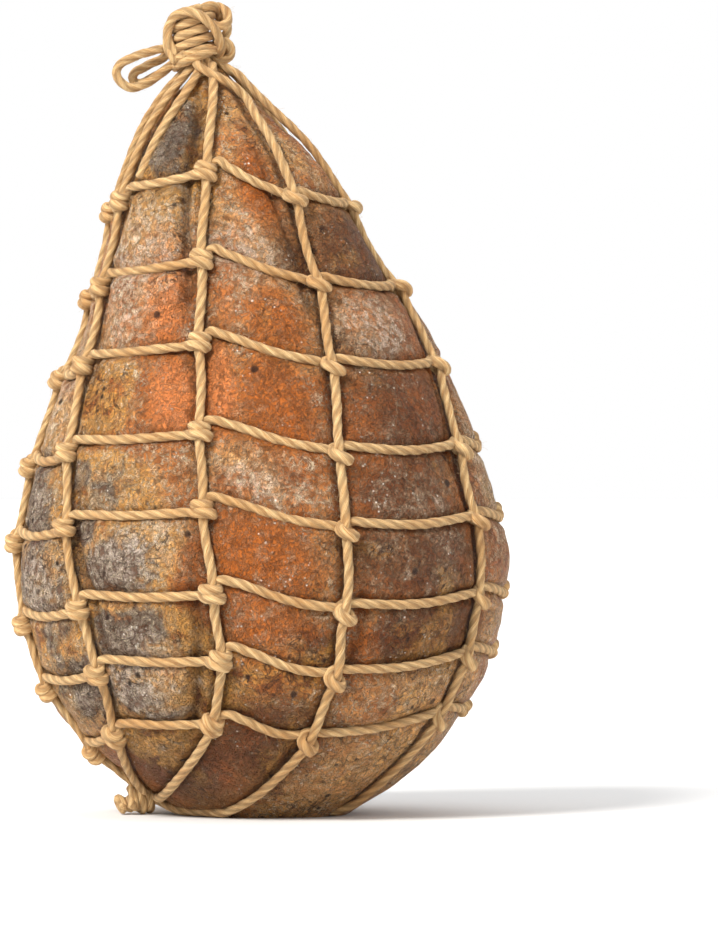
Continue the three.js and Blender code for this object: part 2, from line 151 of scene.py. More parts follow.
def hash_cells(cells, seed):
    """A number from 0 to 1 for each whole-number cell (N, 3)."""
    mixed = np.bitwise_xor.reduce(cells.astype(np.int64) * CELL_PRIMES, axis=1)
    mixed = mixed ^ (seed * SEED_PRIME)
    mixed = (mixed ^ (mixed >> 13)) * MIXING_PRIME
    mixed = mixed ^ (mixed >> 16)
    return (mixed & 0xFFFFFF) / float(0xFFFFFF)


def noise(points, size, seed, stretch=(1, 1, 1)):
    """Smooth noise from -1 to 1 with features of the given size in mm."""
    scaled = points / (size * np.asarray(stretch, float)) + seed * SEED_SHIFT
    base = np.floor(scaled)
    t = scaled - base
    t = t * t * t * (t * (6 * t - 15) + 10)
    total = 0.0
    for corner in range(8):
        step = np.array([corner & 1, corner >> 1 & 1, corner >> 2 & 1])
        weight = np.prod(np.where(step, t, 1 - t), axis=1)
        total = total + weight * hash_cells(base + step, seed)
    return 2 * total - 1


def layered(points, size, seed):
    """Layers of noise, each half as large and half as strong as the one before."""
    layers = [weight * noise(points, size / 2 ** index, seed + index)
              for index, weight in enumerate(LAYER_WEIGHTS)]
    return sum(layers) / sum(LAYER_WEIGHTS)


# ---- The pear and its net

CORE_SHARE = 0.42  # rays to the skin start at this share of the ham's height
HALVINGS = 26


def section_at(height):
    share = np.asarray(height, float) / HAM_HEIGHT
    width = smooth_through(SECTIONS[:, 0], SECTIONS[:, 1], share)
    lean = smooth_through(SECTIONS[:, 0], SECTIONS[:, 2], share)
    half_width = width * HALF_WIDTH
    return half_width, half_width * DEPTH_RATIO, lean


def foot_gather():
    half_width, _, lean = section_at(np.array([FOOT_GATHER_HEIGHT]))
    return np.array([lean[0] - half_width[0] + FOOT_GATHER_INSET, 0.0, FOOT_GATHER_HEIGHT])


NECK_TIP = np.array([SECTIONS[-1, 2], 0.0, HAM_HEIGHT])
FOOT_GATHER = foot_gather()
NET_AXIS = (NECK_TIP - FOOT_GATHER) / np.linalg.norm(NECK_TIP - FOOT_GATHER)
CORE = FOOT_GATHER + NET_AXIS * (CORE_SHARE * HAM_HEIGHT - FOOT_GATHER[2]) / NET_AXIS[2]


def section_share(points):
    half_width, half_depth, lean = section_at(points[:, 2])
    return ((points[:, 0] - lean) / half_width) ** 2 + (points[:, 1] / half_depth) ** 2


def level_direction(bearing):
    angle = np.radians(bearing)
    return np.stack([np.sin(angle), -np.cos(angle), np.zeros_like(angle)], axis=-1)


def skin_point(angle, bearing):
    """Where rays from the core leave the pear, found by halving."""
    turn = np.radians(angle)[:, None]
    direction = unit(NET_AXIS * np.cos(turn) + level_direction(bearing) * np.sin(turn))
    near = np.zeros(len(direction))
    far = np.full(len(direction), HAM_HEIGHT)
    for _ in range(HALVINGS):
        middle = (near + far) / 2
        points = CORE + direction * middle[:, None]
        height = points[:, 2]
        inside = (height > -FOOT_CUT) & (height < HAM_HEIGHT) & (section_share(points) < 1)
        near = np.where(inside, middle, near)
        far = np.where(inside, far, middle)
    return CORE + direction * near[:, None]


def angle_at_height(height, bearing):
    half_width, half_depth, lean = section_at(height)
    level = level_direction(bearing)
    offset = CORE[0] + NET_AXIS[0] * (height - CORE[2]) / NET_AXIS[2] - lean
    squared = (level[:, 0] / half_width) ** 2 + (level[:, 1] / half_depth) ** 2
    linear = offset * level[:, 0] / half_width ** 2
    constant = (offset / half_width) ** 2 - 1
    reach = (-linear + np.sqrt(linear ** 2 - squared * constant)) / squared
    return np.degrees(np.arctan2(reach, (height - CORE[2]) / NET_AXIS[2]))


def skin_normal(points):
    step = 0.5
    half_width, half_depth, lean = section_at(points[:, 2])
    up = np.array([0.0, 0.0, step])
    rise = (section_share(points + up) - section_share(points - up)) / (2 * step)
    across = 2 * (points[:, 0] - lean) / half_width ** 2
    through = 2 * points[:, 1] / half_depth ** 2
    return unit(np.stack([across, through, rise], axis=-1))


def unit(vectors):
    return vectors / np.maximum(np.linalg.norm(vectors, axis=-1, keepdims=True), 1e-12)


def around_net(values, string, turn=0.0):
    """Smooth value round the net from one value per string, (10,) or (10, N)."""
    values = np.asarray(values, float)
    if values.ndim == 1:
        values = np.repeat(values[:, None], string.size, axis=1)
    base = np.floor(string).astype(int)
    t = string - base
    pick = np.arange(string.size)

    def at(step):
        index = base + step
        return values[index % STRINGS, pick] + turn * (index // STRINGS)

    before, start, end, after = (at(step) for step in (-1, 0, 1, 2))
    return hermite(start, end, (end - before) / 2, (after - start) / 2, t)


def neck_bearing(string):
    slot = string if string < LEAD_SLOT else string + 1
    return NECK_GATHER_BEARING + slot * NECK_SLOT_ANGLE


def bearing_at(string, row):
    bearings = []
    for index, (top, waist, bottom) in enumerate(STRING_BEARINGS):
        foot = FOOT_GATHER_BEARING + index * FOOT_SLOT_ANGLE
        values = [neck_bearing(index), top, waist, bottom, foot]
        bearings.append(smooth_through([0, 1, WAIST_ROW, HOOPS, FOOT_ROW], values, row))
    return around_net(np.array(bearings), string, 360.0)


def hoop_height(hoop, string):
    lowering = hoop / (HOOPS - 1)
    drops = HITCH_DROPS[:, 0] * (1 - lowering) + HITCH_DROPS[:, 1] * lowering
    return HOOP_HEIGHTS[hoop] * HAM_HEIGHT - around_net(drops, string)


def net_angle(string, row):
    columns, column = np.unique(string, return_inverse=True)
    angles = [np.zeros(columns.size)]
    for hoop in range(HOOPS):
        bearing = bearing_at(columns, np.full(columns.size, hoop + 1.0))
        angles.append(angle_at_height(hoop_height(hoop, columns), bearing))
    angles.append(np.full(columns.size, 180.0))
    return smooth_through(np.arange(FOOT_ROW + 1), np.array(angles)[:, column.ravel()], row)


def skin_frame(string, row):
    """Points and outward normals of the smooth pear at net coordinates."""
    string = np.atleast_1d(np.asarray(string, float))
    row = np.atleast_1d(np.asarray(row, float))
    string, row = (part.ravel().copy() for part in np.broadcast_arrays(string, row))
    points = skin_point(net_angle(string, row), bearing_at(string, row))
    return points, skin_normal(points)


def cad_shift():
    """What moves the pear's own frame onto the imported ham: half the left and right edges."""
    columns = np.arange(0, STRINGS, 0.25)
    rows = np.linspace(0.25, FOOT_ROW - 0.25, 120)
    points, _ = skin_frame(*np.meshgrid(columns, rows))
    low, high = (np.array(corner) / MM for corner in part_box("cured_ham"))
    shift = (low + high) / 2 - (points.min(axis=0) + points.max(axis=0)) / 2
    return np.array([shift[0], shift[1], 0.0])


SHIFT = cad_shift()


def to_row(points):
    return (np.asarray(points) + SHIFT) * MM


# ---- Relief of the meat

# Strings whose hoops are hitched with a single band over the front; the rest have two.
SINGLE_BAND_STRINGS = (3, 4, 6, 8)

# How far above the crossing a hoop leaves a hitch and comes into the next, for hitches of
# two bands and of one, and how far it sags between them.
LEAVES_AT = np.array([5.0, 4.0])
ARRIVES_AT = np.array([-0.9, 2.4])
HOOP_SAG = 1.5

# The skin between the twine, in mm: how far it bulges and sinks, and over what distance
# from a string and from a hoop.
BULGE = 2.6
BULGE_REACH = (13, 7.5)
SINK = 1.5
SINK_REACH = (3.1, 2.7)

# Creases beside the strings: string, rows from and to, side in mm, half width, depth.
CREASES = [
    (2, 0.3, 2.6, -6.5, 2.4, 3.4), (1, 0.6, 3.4, 5.5, 2.2, 2.6), (1, 4.4, 6.8, 6.0, 2.0, 2.2),
    (0, 3.2, 5.4, 6.0, 2.0, 2.0), (2, 5.6, 8.2, -8.0, 2.6, 2.4), (3, 0.7, 2.4, -6.0, 2.2, 2.2),
    (3, 5.6, 7.4, 7.0, 2.6, 2.2), (4, 1.2, 4.8, -5.5, 2.0, 2.4), (4, 1.6, 4.2, 7.0, 2.4, 2.6),
    (5, 2.2, 6.4, -6.0, 2.2, 2.2), (6, 1.2, 5.2, 6.0, 2.4, 2.4), (7, 0.6, 3.2, -6.0, 2.4, 2.6),
    (8, 2.2, 6.2, 7.0, 2.6, 2.6), (9, 0.8, 5.2, -6.0, 2.2, 2.2),
]

# Crease depth in mm that gets the full painted shade.
DEEPEST_CREASE = 3.4

# Soft swells and hollows: string, row, half widths in strings and rows, rise in mm.
SWELLS = [
    (4.55, 2.0, 0.45, 0.5, 2.6), (4.45, 2.9, 0.4, 0.5, 1.4), (1.5, 1.6, 0.35, 0.6, 1.6),
    (2.5, 4.5, 0.5, 0.9, 1.6), (3.5, 6.6, 0.3, 0.35, -2.6), (0.5, 5.4, 0.4, 0.8, 1.4),
    (2.5, 7.0, 0.5, 0.6, 1.2), (6.5, 4.0, 0.5, 1.0, 1.8), (8.5, 5.0, 0.5, 1.0, 1.6),
]


def strings_away(string, index):
    """How many strings away from one of them, the short way round."""
    return (string - index + STRINGS / 2) % STRINGS - STRINGS / 2


def patch(string, row, index, middle, half_strings, half_rows):
    """1 in the middle of a soft patch of the skin, falling to 0 round it."""
    away = strings_away(string, index) / half_strings
    return np.exp(-(away ** 2 + ((row - middle) / half_rows) ** 2))


def hoop_run(string):
    """How far above the straight line between two crossings a hoop runs, in mm."""
    share = string % 1.0
    single = np.isin(np.arange(STRINGS), SINGLE_BAND_STRINGS).astype(int)
    before = np.floor(string).astype(int) % STRINGS
    start = LEAVES_AT[single[before]]
    end = ARRIVES_AT[single[(before + 1) % STRINGS]]
    sag = HOOP_SAG * np.sin(math.pi * share) ** 2
    return start + (end - start) * smoothstep(0, 1, share) - sag


def hoop_gap(string, row, row_span):
    """Distance in mm down the skin from the nearest hoop's own line."""
    run = hoop_run(string)
    nearest = np.clip(np.round(row + run / row_span), 1, HOOPS)
    return np.abs((row - nearest) * row_span + run)


def crease_depth(string, row, string_span):
    depth = np.zeros(string.shape)
    for index, start, end, side, half_width, most in CREASES:
        wander = 1.2 * np.sin(2.1 * row + index) + 0.6 * np.sin(5.3 * row + 2 * index)
        across = strings_away(string, index) * string_span - side - wander
        ends = smoothstep(start - 0.2, start + 0.3, row) * smoothstep(end + 0.2, end - 0.3, row)
        depth = np.maximum(depth, most * ends * bell(across, half_width))
    return depth


def shoulder(points, gap, place, width, size, seed):
    """Uneven swelling of the skin where it comes out from under the twine."""
    return bell(gap - place, width) * (1 + 0.8 * noise(points, size, seed))


def relief(points, string, row, string_span, row_span):
    """Outward displacement of the skin in mm, and a mask from 0 to 1 of painted shade in its
    grooves, creases and beside the strings.
    """
    gap_s = np.abs(string - np.round(string)) * string_span
    gap_h = hoop_gap(string, row, row_span)
    under_net = smoothstep(0.15, 0.9, row) * smoothstep(FOOT_ROW - 0.1, HOOPS - 0.1, row)
    hoops_here = smoothstep(0.3, 0.8, row) * smoothstep(HOOPS + 0.7, HOOPS + 0.2, row)
    valley_s = bell(gap_s, SINK_REACH[0])
    valley_h = bell(gap_h, SINK_REACH[1]) * hoops_here
    creases = crease_depth(string, row, string_span)
    pillow = (1 - bell(gap_s, BULGE_REACH[0])) * (1 - 0.5 * bell(gap_h, BULGE_REACH[1]))
    rise = BULGE * pillow * (1 + 0.35 * noise(points, 26, 3)) * under_net
    rise -= SINK * np.maximum(valley_s, 0.85 * valley_h)
    rise += 0.55 * shoulder(points, gap_s, 5.4, 2.2, 11, 9) * under_net
    rise += 0.4 * shoulder(points, gap_h, 4.8, 2.0, 12, 14) * hoops_here
    rise += sum(most * patch(string, row, *place) for *place, most in SWELLS)
    rise += skin_roughness(points, row) - creases
    # Painted shade: darker in the valleys beside the strings and hoops, in the creases, and in
    # a ragged margin along each string.
    twine_shade = np.maximum(valley_s, valley_h * 0.7) * (0.65 + 0.5 * noise(points, 19, 23))
    string_margin_shade = 0.36 * bell(gap_s, 8.5) * np.clip(0.5 + noise(points, 30, 91), 0, 1)
    groove_shade = np.clip(twine_shade + creases / DEEPEST_CREASE + string_margin_shade, 0, 1)
    return rise, groove_shade


def skin_roughness(points, row):
    near_neck = smoothstep(1.6, 0.2, row)
    pleats = noise(points, 4.2, 21, (1, 1, 7)) * (0.35 + 1.1 * near_neck)
    ridges = (1 - np.abs(noise(points, 9, 33, (1, 1, 4)))) ** 4
    wrinkles = ridges * smoothstep(-0.2, 0.6, noise(points, 40, 41))
    lumps = layered(points, 17, 51)
    grain = layered(points, 4.4, 61)
    grit = noise(points, 1.9, 71)
    return 0.5 * pleats - 0.7 * wrinkles + 0.75 * lumps + 0.17 * grain + 0.09 * grit


# ---- Mesh helpers


def add_object(name, data):
    made = bpy.data.objects.new(name, data)
    bpy.context.scene.collection.objects.link(made)
    return made


def make_object(name, points, faces, material):
    """A smooth mesh in the scene, from points in metres."""
    mesh = bpy.data.meshes.new(name)
    mesh.from_pydata(points.tolist(), [], faces)
    mesh.update()
    mesh.polygons.foreach_set("use_smooth", np.ones(len(mesh.polygons), bool))
    mesh.materials.append(material)
    return add_object(name, mesh)


def put_attribute(obj, name, values):
    """A value, or three, for each point of the mesh, which the materials read."""
    values = np.asarray(values, np.float32)
    kind = "FLOAT" if values.ndim == 1 else "FLOAT_VECTOR"
    field = "value" if values.ndim == 1 else "vector"
    attribute = obj.data.attributes.new(name, kind, "POINT")
    attribute.data.foreach_set(field, values.ravel())


def ring_faces(ring_count, sides, first=0, closed=False):
    """Quads between rings of points, each ring joined up."""
    ring = np.arange(ring_count if closed else ring_count - 1)[:, None]
    side = np.arange(sides)[None, :]
    after = (ring + 1) % ring_count
    turn = (side + 1) % sides
    corners = [ring * sides + side, ring * sides + turn, after * sides + turn,
               after * sides + side]
    quads = np.stack([np.broadcast_to(c, (ring.size, sides)) for c in corners], axis=-1)
    return (quads.reshape(-1, 4) + first).tolist()


def fan_faces(tip, first, sides, outward):
    order = range(sides)
    if outward:
        return [(tip, first + (i + 1) % sides, first + i) for i in order]
    return [(tip, first + i, first + (i + 1) % sides) for i in order]


# ---- The ham

HAM_COLUMNS = 640
HOOP_ROW_STEPS = 44
NECK_ROW_STEPS = 64
FOOT_ROW_STEPS = 96


def ham_rows():
    neck = np.linspace(0, 1, NECK_ROW_STEPS, endpoint=False)[1:]
    middle = np.linspace(1, HOOPS, (HOOPS - 1) * HOOP_ROW_STEPS, endpoint=False)
    foot = np.linspace(HOOPS, FOOT_ROW, FOOT_ROW_STEPS)[:-1]
    return np.concatenate([neck, middle, foot])


def skin_spans(points, columns, rows):
    """Millimetres of skin for one unit of string number, and of row number."""
    grid = points.reshape(len(rows), len(columns), 3)
    across = np.roll(grid, -1, 1) - np.roll(grid, 1, 1)
    string_span = np.linalg.norm(across, axis=2) / (2 * (columns[1] - columns[0]))
    row_span = np.linalg.norm(np.gradient(grid, rows, axis=0), axis=2)
    return string_span.ravel(), np.maximum(row_span.ravel(), 1.0)


def skin_faces(row_count):
    """Quads between the rows of points, and a fan to the pole at each end."""
    pole = row_count * HAM_COLUMNS
    faces = [tuple(reversed(face)) for face in ring_faces(row_count, HAM_COLUMNS)]
    faces += fan_faces(pole, 0, HAM_COLUMNS, False)
    faces += fan_faces(pole + 1, pole - HAM_COLUMNS, HAM_COLUMNS, True)
    return faces


def build_ham(material):
    columns = np.arange(HAM_COLUMNS) * STRINGS / HAM_COLUMNS
    rows = ham_rows()
    string, row = (part.ravel() for part in np.meshgrid(columns, rows))
    points, normals = skin_frame(string, row)
    rise, groove_shade = relief(points, string, row, *skin_spans(points, columns, rows))
    rise *= smoothstep(1.0, 16.0, points[:, 2]) * smoothstep(0.02, 0.3, row)
    skin = points + normals * rise[:, None]
    skin[:, 2] = np.clip(skin[:, 2], 0.0, HAM_HEIGHT)
    poles = [skin[:HAM_COLUMNS].mean(axis=0), skin[-HAM_COLUMNS:].mean(axis=0)]
    points = to_row(np.vstack([skin, poles]))
    ham = make_object("ham_meat", points, skin_faces(len(rows)), material)
    put_skin_masks(ham, string, row, groove_shade)
    return ham


# Patches of colour on the skin: string, row, half widths in strings and rows, strength.
SKIN_PATCHES = {
    "mould": [
        (1.14, 4.35, 0.14, 0.25, 1.4), (1.16, 5.0, 0.15, 0.3, 1.4), (1.2, 6.3, 0.16, 0.3, 1.3),
        (1.45, 6.8, 0.16, 0.3, 1.4), (1.3, 7.5, 0.2, 0.3, 1.4), (0.6, 4.9, 0.25, 0.35, 1.4),
        (0.65, 6.1, 0.25, 0.4, 1.4), (0.8, 7.0, 0.2, 0.3, 1.3), (1.35, 3.5, 0.3, 0.5, 0.45),
        (1.35, 4.6, 0.3, 0.5, 0.8), (1.35, 5.6, 0.4, 0.6, 1.0), (0.5, 4.4, 0.45, 0.8, 0.9),
        (0.5, 5.6, 0.5, 0.9, 1.0), (1.4, 6.6, 0.5, 0.7, 1.1), (0.8, 7.2, 0.7, 0.9, 0.9),
        (1.6, 7.7, 0.5, 0.6, 0.9), (1.6, 0.7, 0.35, 0.5, 0.9), (1.3, 1.6, 0.25, 0.4, 0.6),
        (9.4, 4.6, 0.7, 2.4, 1.0), (8.4, 2.8, 0.6, 1.2, 0.8), (7.4, 5.6, 0.6, 1.2, 0.8),
        (6.5, 2.2, 0.5, 0.8, 0.7), (4.6, 4.6, 0.4, 0.9, 0.5),
    ],
    "red": [
        (1.75, 2.5, 0.22, 1.0, 0.9), (2.2, 2.5, 0.22, 0.6, 0.6), (2.13, 3.5, 0.2, 0.7, 1.0),
        (1.82, 3.6, 0.2, 0.6, 1.1), (2.6, 1.0, 0.3, 0.5, 0.7), (5.4, 3.4, 0.5, 1.2, 0.7),
        (7.5, 3.2, 0.5, 1.0, 0.8),
    ],
    "amber": [
        (2.6, 2.6, 0.34, 0.6, 0.9), (2.55, 3.55, 0.34, 0.7, 1.1), (2.6, 1.0, 0.35, 0.5, 0.8),
        (2.4, 5.6, 0.5, 0.8, 1.1), (2.5, 6.7, 0.5, 0.9, 1.1), (3.3, 4.4, 0.3, 0.8, 0.6),
        (3.4, 6.4, 0.35, 0.3, 1.0), (1.3, 3.5, 0.3, 0.7, 0.7), (6.5, 5.2, 0.5, 1.4, 0.8),
        (8.6, 4.2, 0.4, 1.2, 0.6),
    ],
    "brown": [
        (3.5, 1.6, 0.7, 0.9, 0.9), (3.5, 3.6, 0.7, 1.6, 0.9), (3.5, 5.2, 0.7, 1.2, 1.0),
        (3.65, 6.35, 0.42, 0.6, 1.9), (3.4, 4.5, 0.4, 0.5, 1.3), (2.5, 8.0, 0.9, 0.7, 0.9),
        (1.85, 6.6, 0.25, 0.9, 1.0), (1.9, 5.5, 0.15, 0.5, 0.7), (2.85, 1.7, 0.3, 0.5, 0.8),
        (2.9, 3.8, 0.2, 0.4, 0.6), (2.85, 6.6, 0.3, 0.6, 0.7), (1.8, 8.4, 1.6, 0.6, 0.9),
        (1.7, 0.9, 0.5, 0.5, 0.7), (1.85, 7.6, 0.24, 0.6, 1.7), (6.5, 7.0, 1.5, 1.0, 0.8),
    ],
    "bloom": [
        (3.35, 2.5, 0.4, 0.5, 1.0), (1.4, 1.8, 0.5, 0.8, 1.1), (1.4, 2.6, 0.4, 0.5, 0.7),
        (2.4, 1.8, 0.4, 0.5, 1.0), (2.4, 4.5, 0.5, 0.4, 0.8), (0.5, 3.0, 0.6, 1.6, 0.9),
        (4.6, 2.2, 0.5, 0.8, 1.0), (4.6, 4.4, 0.5, 1.4, 1.1), (0.5, 5.5, 0.5, 0.8, 0.9),
        (1.5, 5.4, 0.5, 0.6, 0.7), (1.3, 7.2, 0.7, 0.8, 0.8), (3.5, 5.0, 0.5, 1.6, 0.45),
        (2.5, 6.4, 0.5, 1.6, 0.3), (7.5, 1.6, 0.8, 0.8, 0.8), (8.5, 6.4, 0.8, 0.8, 0.8),
    ],
}


def put_skin_masks(ham, string, row, groove_shade):
    """Masks for the skin's colours, and for its painted shade in the grooves. The last two
    points are the poles.
    """
    for name, patches in SKIN_PATCHES.items():
        layers = [strength * patch(string, row, *place) for *place, strength in patches]
        mask = np.max(layers, axis=0)
        put_attribute(ham, name, np.concatenate([mask, mask[:1], mask[-1:]]))
    put_attribute(ham, "groove_shade", np.concatenate([groove_shade, [0.5, 0.5]]))


# ---- Rope

ROPE_SIDES = 15
ROPE_STEP = 0.95
PLIES = 3
PLY_OFFSET = 0.24  # shares of the rope's radius: how far out a ply's middle is, and its radius
PLY_RADIUS = 0.76
LAY_LENGTH = 21.0
END_ROUNDING = 0.5
FINE_SHARE = 0.35  # the curve is first worked out at this share of the step
ASKEW = [0.3, 0.5, 0.81]  # a direction that no twine starts out along


def spline_piece(before, start, end, after, step):
    """Fine rows from start up to end on a curve that doesn't overshoot in tight bends."""
    chord = [max(np.linalg.norm(b[:3] - a[:3]), 1e-6) ** 0.5
             for a, b in ((before, start), (start, end), (end, after))]
    ahead = (end - start) / chord[1]
    start_slope = ((start - before) / chord[0] - (end - before) / (chord[0] + chord[1]) + ahead)
    end_slope = (ahead - (after - start) / (chord[1] + chord[2]) + (after - end) / chord[2])
    count = max(2, math.ceil(np.linalg.norm(end[:3] - start[:3]) / (FINE_SHARE * step)))
    t = np.linspace(0, 1, count, endpoint=False)[:, None]
    return hermite(start, end, chord[1] * start_slope, chord[1] * end_slope, t)


def spline(data, closed, step):
    """Even rows along a smooth curve through the given ones, and its length.

    The first three values of a row are its place; the others are carried along.
    """
    if closed:
        data = np.vstack([data[-1:], data, data[:2]])
    else:
        data = np.vstack([2 * data[:1] - data[1:2], data, 2 * data[-1:] - data[-2:-1]])
    pieces = [spline_piece(*four, step) for four in zip(data, data[1:], data[2:], data[3:])]
    fine = np.vstack(pieces + [data[-2:-1]])
    gaps = np.linalg.norm(np.diff(fine[:, :3], axis=0), axis=1)
    reach = np.concatenate([[0], np.cumsum(gaps)])
    count = max(4, int(round(reach[-1] / step)))
    stations = np.linspace(0, reach[-1], count + 1)
    if closed:
        stations = stations[:-1]
    even = np.stack([np.interp(stations, reach, column) for column in fine.T], axis=-1)
    return even, reach[-1]


def carried_frames(points, closed=False):
    """Tangents and two directions across them, turned as little as possible."""
    if closed:
        tangents = unit(np.roll(points, -1, 0) - np.roll(points, 1, 0))
    else:
        tangents = unit(np.gradient(points, axis=0))
    sides = [unit(np.cross(tangents[0], ASKEW))]
    for tangent in tangents[1:]:
        sides.append(unit(sides[-1] - tangent * np.dot(sides[-1], tangent)))
    return tangents, np.array(sides), np.cross(tangents, sides)


def spokes(frames, angle):
    """Directions (N, S, 3) round a line at the given angles, (N, S) or (1, S)."""
    _, sides, others = frames
    return (sides[:, None, :] * np.cos(angle)[:, :, None]
            + others[:, None, :] * np.sin(angle)[:, :, None])


def ply_outline(angle):
    """Reach of the three plies' outline at an angle, as a share of the rope's radius."""
    third = 2 * math.pi / PLIES
    within = (angle + third / 2) % third - third / 2
    return PLY_OFFSET * np.cos(within) + np.sqrt(
        np.maximum(PLY_RADIUS ** 2 - (PLY_OFFSET * np.sin(within)) ** 2, 0))


def lay_turns(length, frames, closed):
    """How often the plies turn along a rope. On a closed one they have to meet again."""
    turns = length / LAY_LENGTH
    if closed:
        tangents, sides, others = frames
        end_side = sides[-1] - tangents[0] * np.dot(sides[-1], tangents[0])
        miss = math.atan2(np.dot(end_side, others[0]), np.dot(end_side, sides[0]))
        turns = round(turns * PLIES) / PLIES - miss / (2 * math.pi)
    return turns


def rope_mesh(route, closed=False, normals=None, flat=0.0, swell=None):
    """Points, faces, lay, painted shade between the plies and centre line of one laid twine
    along a route in mm.
    """
    normals = np.zeros_like(route, float) if normals is None else normals
    swell = np.ones(len(route)) if swell is None else swell
    even, length = spline(np.column_stack([route, normals, swell]), closed, ROPE_STEP)
    centres = even[:, :3]
    count = len(centres)
    distance = np.arange(count) * length / (count if closed else count - 1)
    frames = carried_frames(centres, closed)
    twist = 2 * math.pi * lay_turns(length, frames, closed) * distance / length
    phase = np.arange(ROPE_SIDES) * 2 * math.pi / ROPE_SIDES
    outline = ply_outline(phase)
    uneven = 1 + 0.06 * noise(centres, 7, 11) + 0.02 * noise(centres, 16, 5)
    reach = outline * (TWINE_RADIUS * uneven * even[:, 6])[:, None]
    offset = spokes(frames, phase + twist[:, None]) * reach[:, :, None]
    outward = unit(even[:, 3:6])[:, None, :]
    offset -= flat * outward * np.sum(offset * outward, axis=2, keepdims=True)
    points = (centres[:, None, :] + offset).reshape(-1, 3)
    points += 0.07 * noise(points, 0.9, 17)[:, None] * unit(offset.reshape(-1, 3))
    lay = np.broadcast_arrays(np.cos(phase), np.sin(phase), distance[:, None])
    lay = np.stack(lay, axis=-1).reshape(-1, 3)
    # 1 in the hollows between the plies, where the twine's material paints shade.
    cusp_shade = np.tile(1 - (outline - outline.min()) / np.ptp(outline), count)
    mesh = points, ring_faces(count, ROPE_SIDES, closed=closed), lay, cusp_shade
    if not closed:
        mesh = close_ends(*mesh, centres, frames[0], length)
    return *mesh, centres


def close_ends(points, faces, lay, cusp_shade, centres, tangents, length):
    """Adds a rounded tip at each end of an open rope's mesh."""
    tip = len(points)
    tips = [centres[0] - tangents[0] * END_ROUNDING, centres[-1] + tangents[-1] * END_ROUNDING]
    faces += fan_faces(tip, 0, ROPE_SIDES, True)
    faces += fan_faces(tip + 1, tip - ROPE_SIDES, ROPE_SIDES, False)
    lay = np.vstack([lay, [[0, 0, 0], [0, 0, length]]])
    return np.vstack([points, tips]), faces, lay, np.concatenate([cusp_shade, [0, 0]])


def join_meshes(parts):
    """One mesh from several (points, faces, lay, cusp_shade, centres) tuples."""
    points, _, lay, cusp_shade, _ = zip(*parts)
    faces, first = [], 0
    for part in parts:
        faces += [tuple(index + first for index in face) for face in part[1]]
        first += len(part[0])
    return np.vstack(points), faces, np.vstack(lay), np.concatenate(cusp_shade)


ROPES = []  # centre lines of all twine, for its loose fibres


def twine_object(node, parts, material):
    """The twine that is seen in place of one node of the CAD part."""
    points, faces, lay, cusp_shade = join_meshes(parts)
    made = make_object(f"{node}_twine", to_row(points), faces, material)
    put_attribute(made, "lay", lay)
    put_attribute(made, "cusp_shade", cusp_shade)
    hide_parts(node)
    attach(made, "root")
    ROPES.extend(part[4] for part in parts)
    return made


# ---- Strings

STRING_LIFT = 1.2
HITCH_LIFT = 2.3
HITCH_REACH = 6.0
ROW_LENGTH = 32  # of skin between two hoops, about
FLOOR_LIFT = 2.0
STRING_FLATNESS = 0.1
STRING_STATIONS = 120
FOOT_TIE_REACH = 8.5
TANGENT_ROWS = 0.22  # a string's direction is taken over this much of the net each way
KNOT_SETTLED = np.array([1.8, -0.6, -1.0])  # how far the knot hangs from its CAD middle

# A string's way out of the wraps: height over the neck's tip, distance from its middle, and
# share of the binding's shift to the left.
BINDING_EXIT = [(8.5, 3.6, 0.9), (4.5, 4.6, 0.6), (0.6, 6.3, 0.12)]

# One string leaves the binding at the left and crosses over the front of its neighbour.
CROSSING_STRING = 3
CROSSING_START = np.array([[-6.0, -5.5, 3.4], [-3.4, -10.6, -0.6], [3.0, -13.4, -4.2],
                           [9.0, -12.8, -7.6], [14.0, -11.4, -12.0]])
CROSSING_GAP = 5  # it lies on the skin from this far below its last point here


def local_frames(string, row):
    """Point, right, up and outward directions on the smooth skin."""
    points, outward = skin_frame(string, row)
    above, _ = skin_frame(string, np.asarray(row) - TANGENT_ROWS)
    below, _ = skin_frame(string, np.asarray(row) + TANGENT_ROWS)
    up = above - below
    up = unit(up - outward * np.sum(up * outward, axis=1, keepdims=True))
    return points, np.cross(up, outward), up, outward


def out_of_binding(bearing):
    """A string's first points, from inside the wraps down to the neck."""
    around = level_direction(np.array([bearing]))[0]
    return [NECK_TIP + around * radius + [-shifted * BINDING_SHIFT, 0, height]
            for height, radius, shifted in BINDING_EXIT]


def above_floor(points, height=FLOOR_LIFT):
    points[:, 2] = np.maximum(points[:, 2], height)
    return points


def string_lift(row):
    """How far a string's middle is above the skin: more where hoops are hitched to it."""
    nearest = np.round(row)
    on_hoops = (nearest >= 1) & (nearest <= HOOPS)
    raised = bell((row - nearest) * ROW_LENGTH, HITCH_REACH) * on_hoops
    return STRING_LIFT + (HITCH_LIFT - STRING_LIFT) * raised


def string_points(string):
    """A string's route over the skin and into the bottom knot, and its normals."""
    rows = np.linspace(0.12, FOOT_ROW - 0.02, STRING_STATIONS)
    points, normals = skin_frame(np.full(rows.size, float(string)), rows)
    lift = string_lift(rows) + 1.4 * smoothstep(0.9, 0.2, rows)
    sway = 0.5 * np.sin(1.7 * rows * math.pi + string)
    sway *= smoothstep(0.2, 1, rows) * smoothstep(FOOT_ROW, HOOPS, rows)
    right = np.cross([0, 0, 1.0], normals)
    route = above_floor(points + normals * lift[:, None] + right * sway[:, None])
    clear = np.linalg.norm(route - FOOT_GATHER, axis=1) > FOOT_TIE_REACH
    route, normals = route[clear], normals[clear]
    ends = foot_ends(route[-1])
    return np.vstack([route, ends]), np.vstack([normals, np.repeat(normals[-1:], len(ends), 0)])


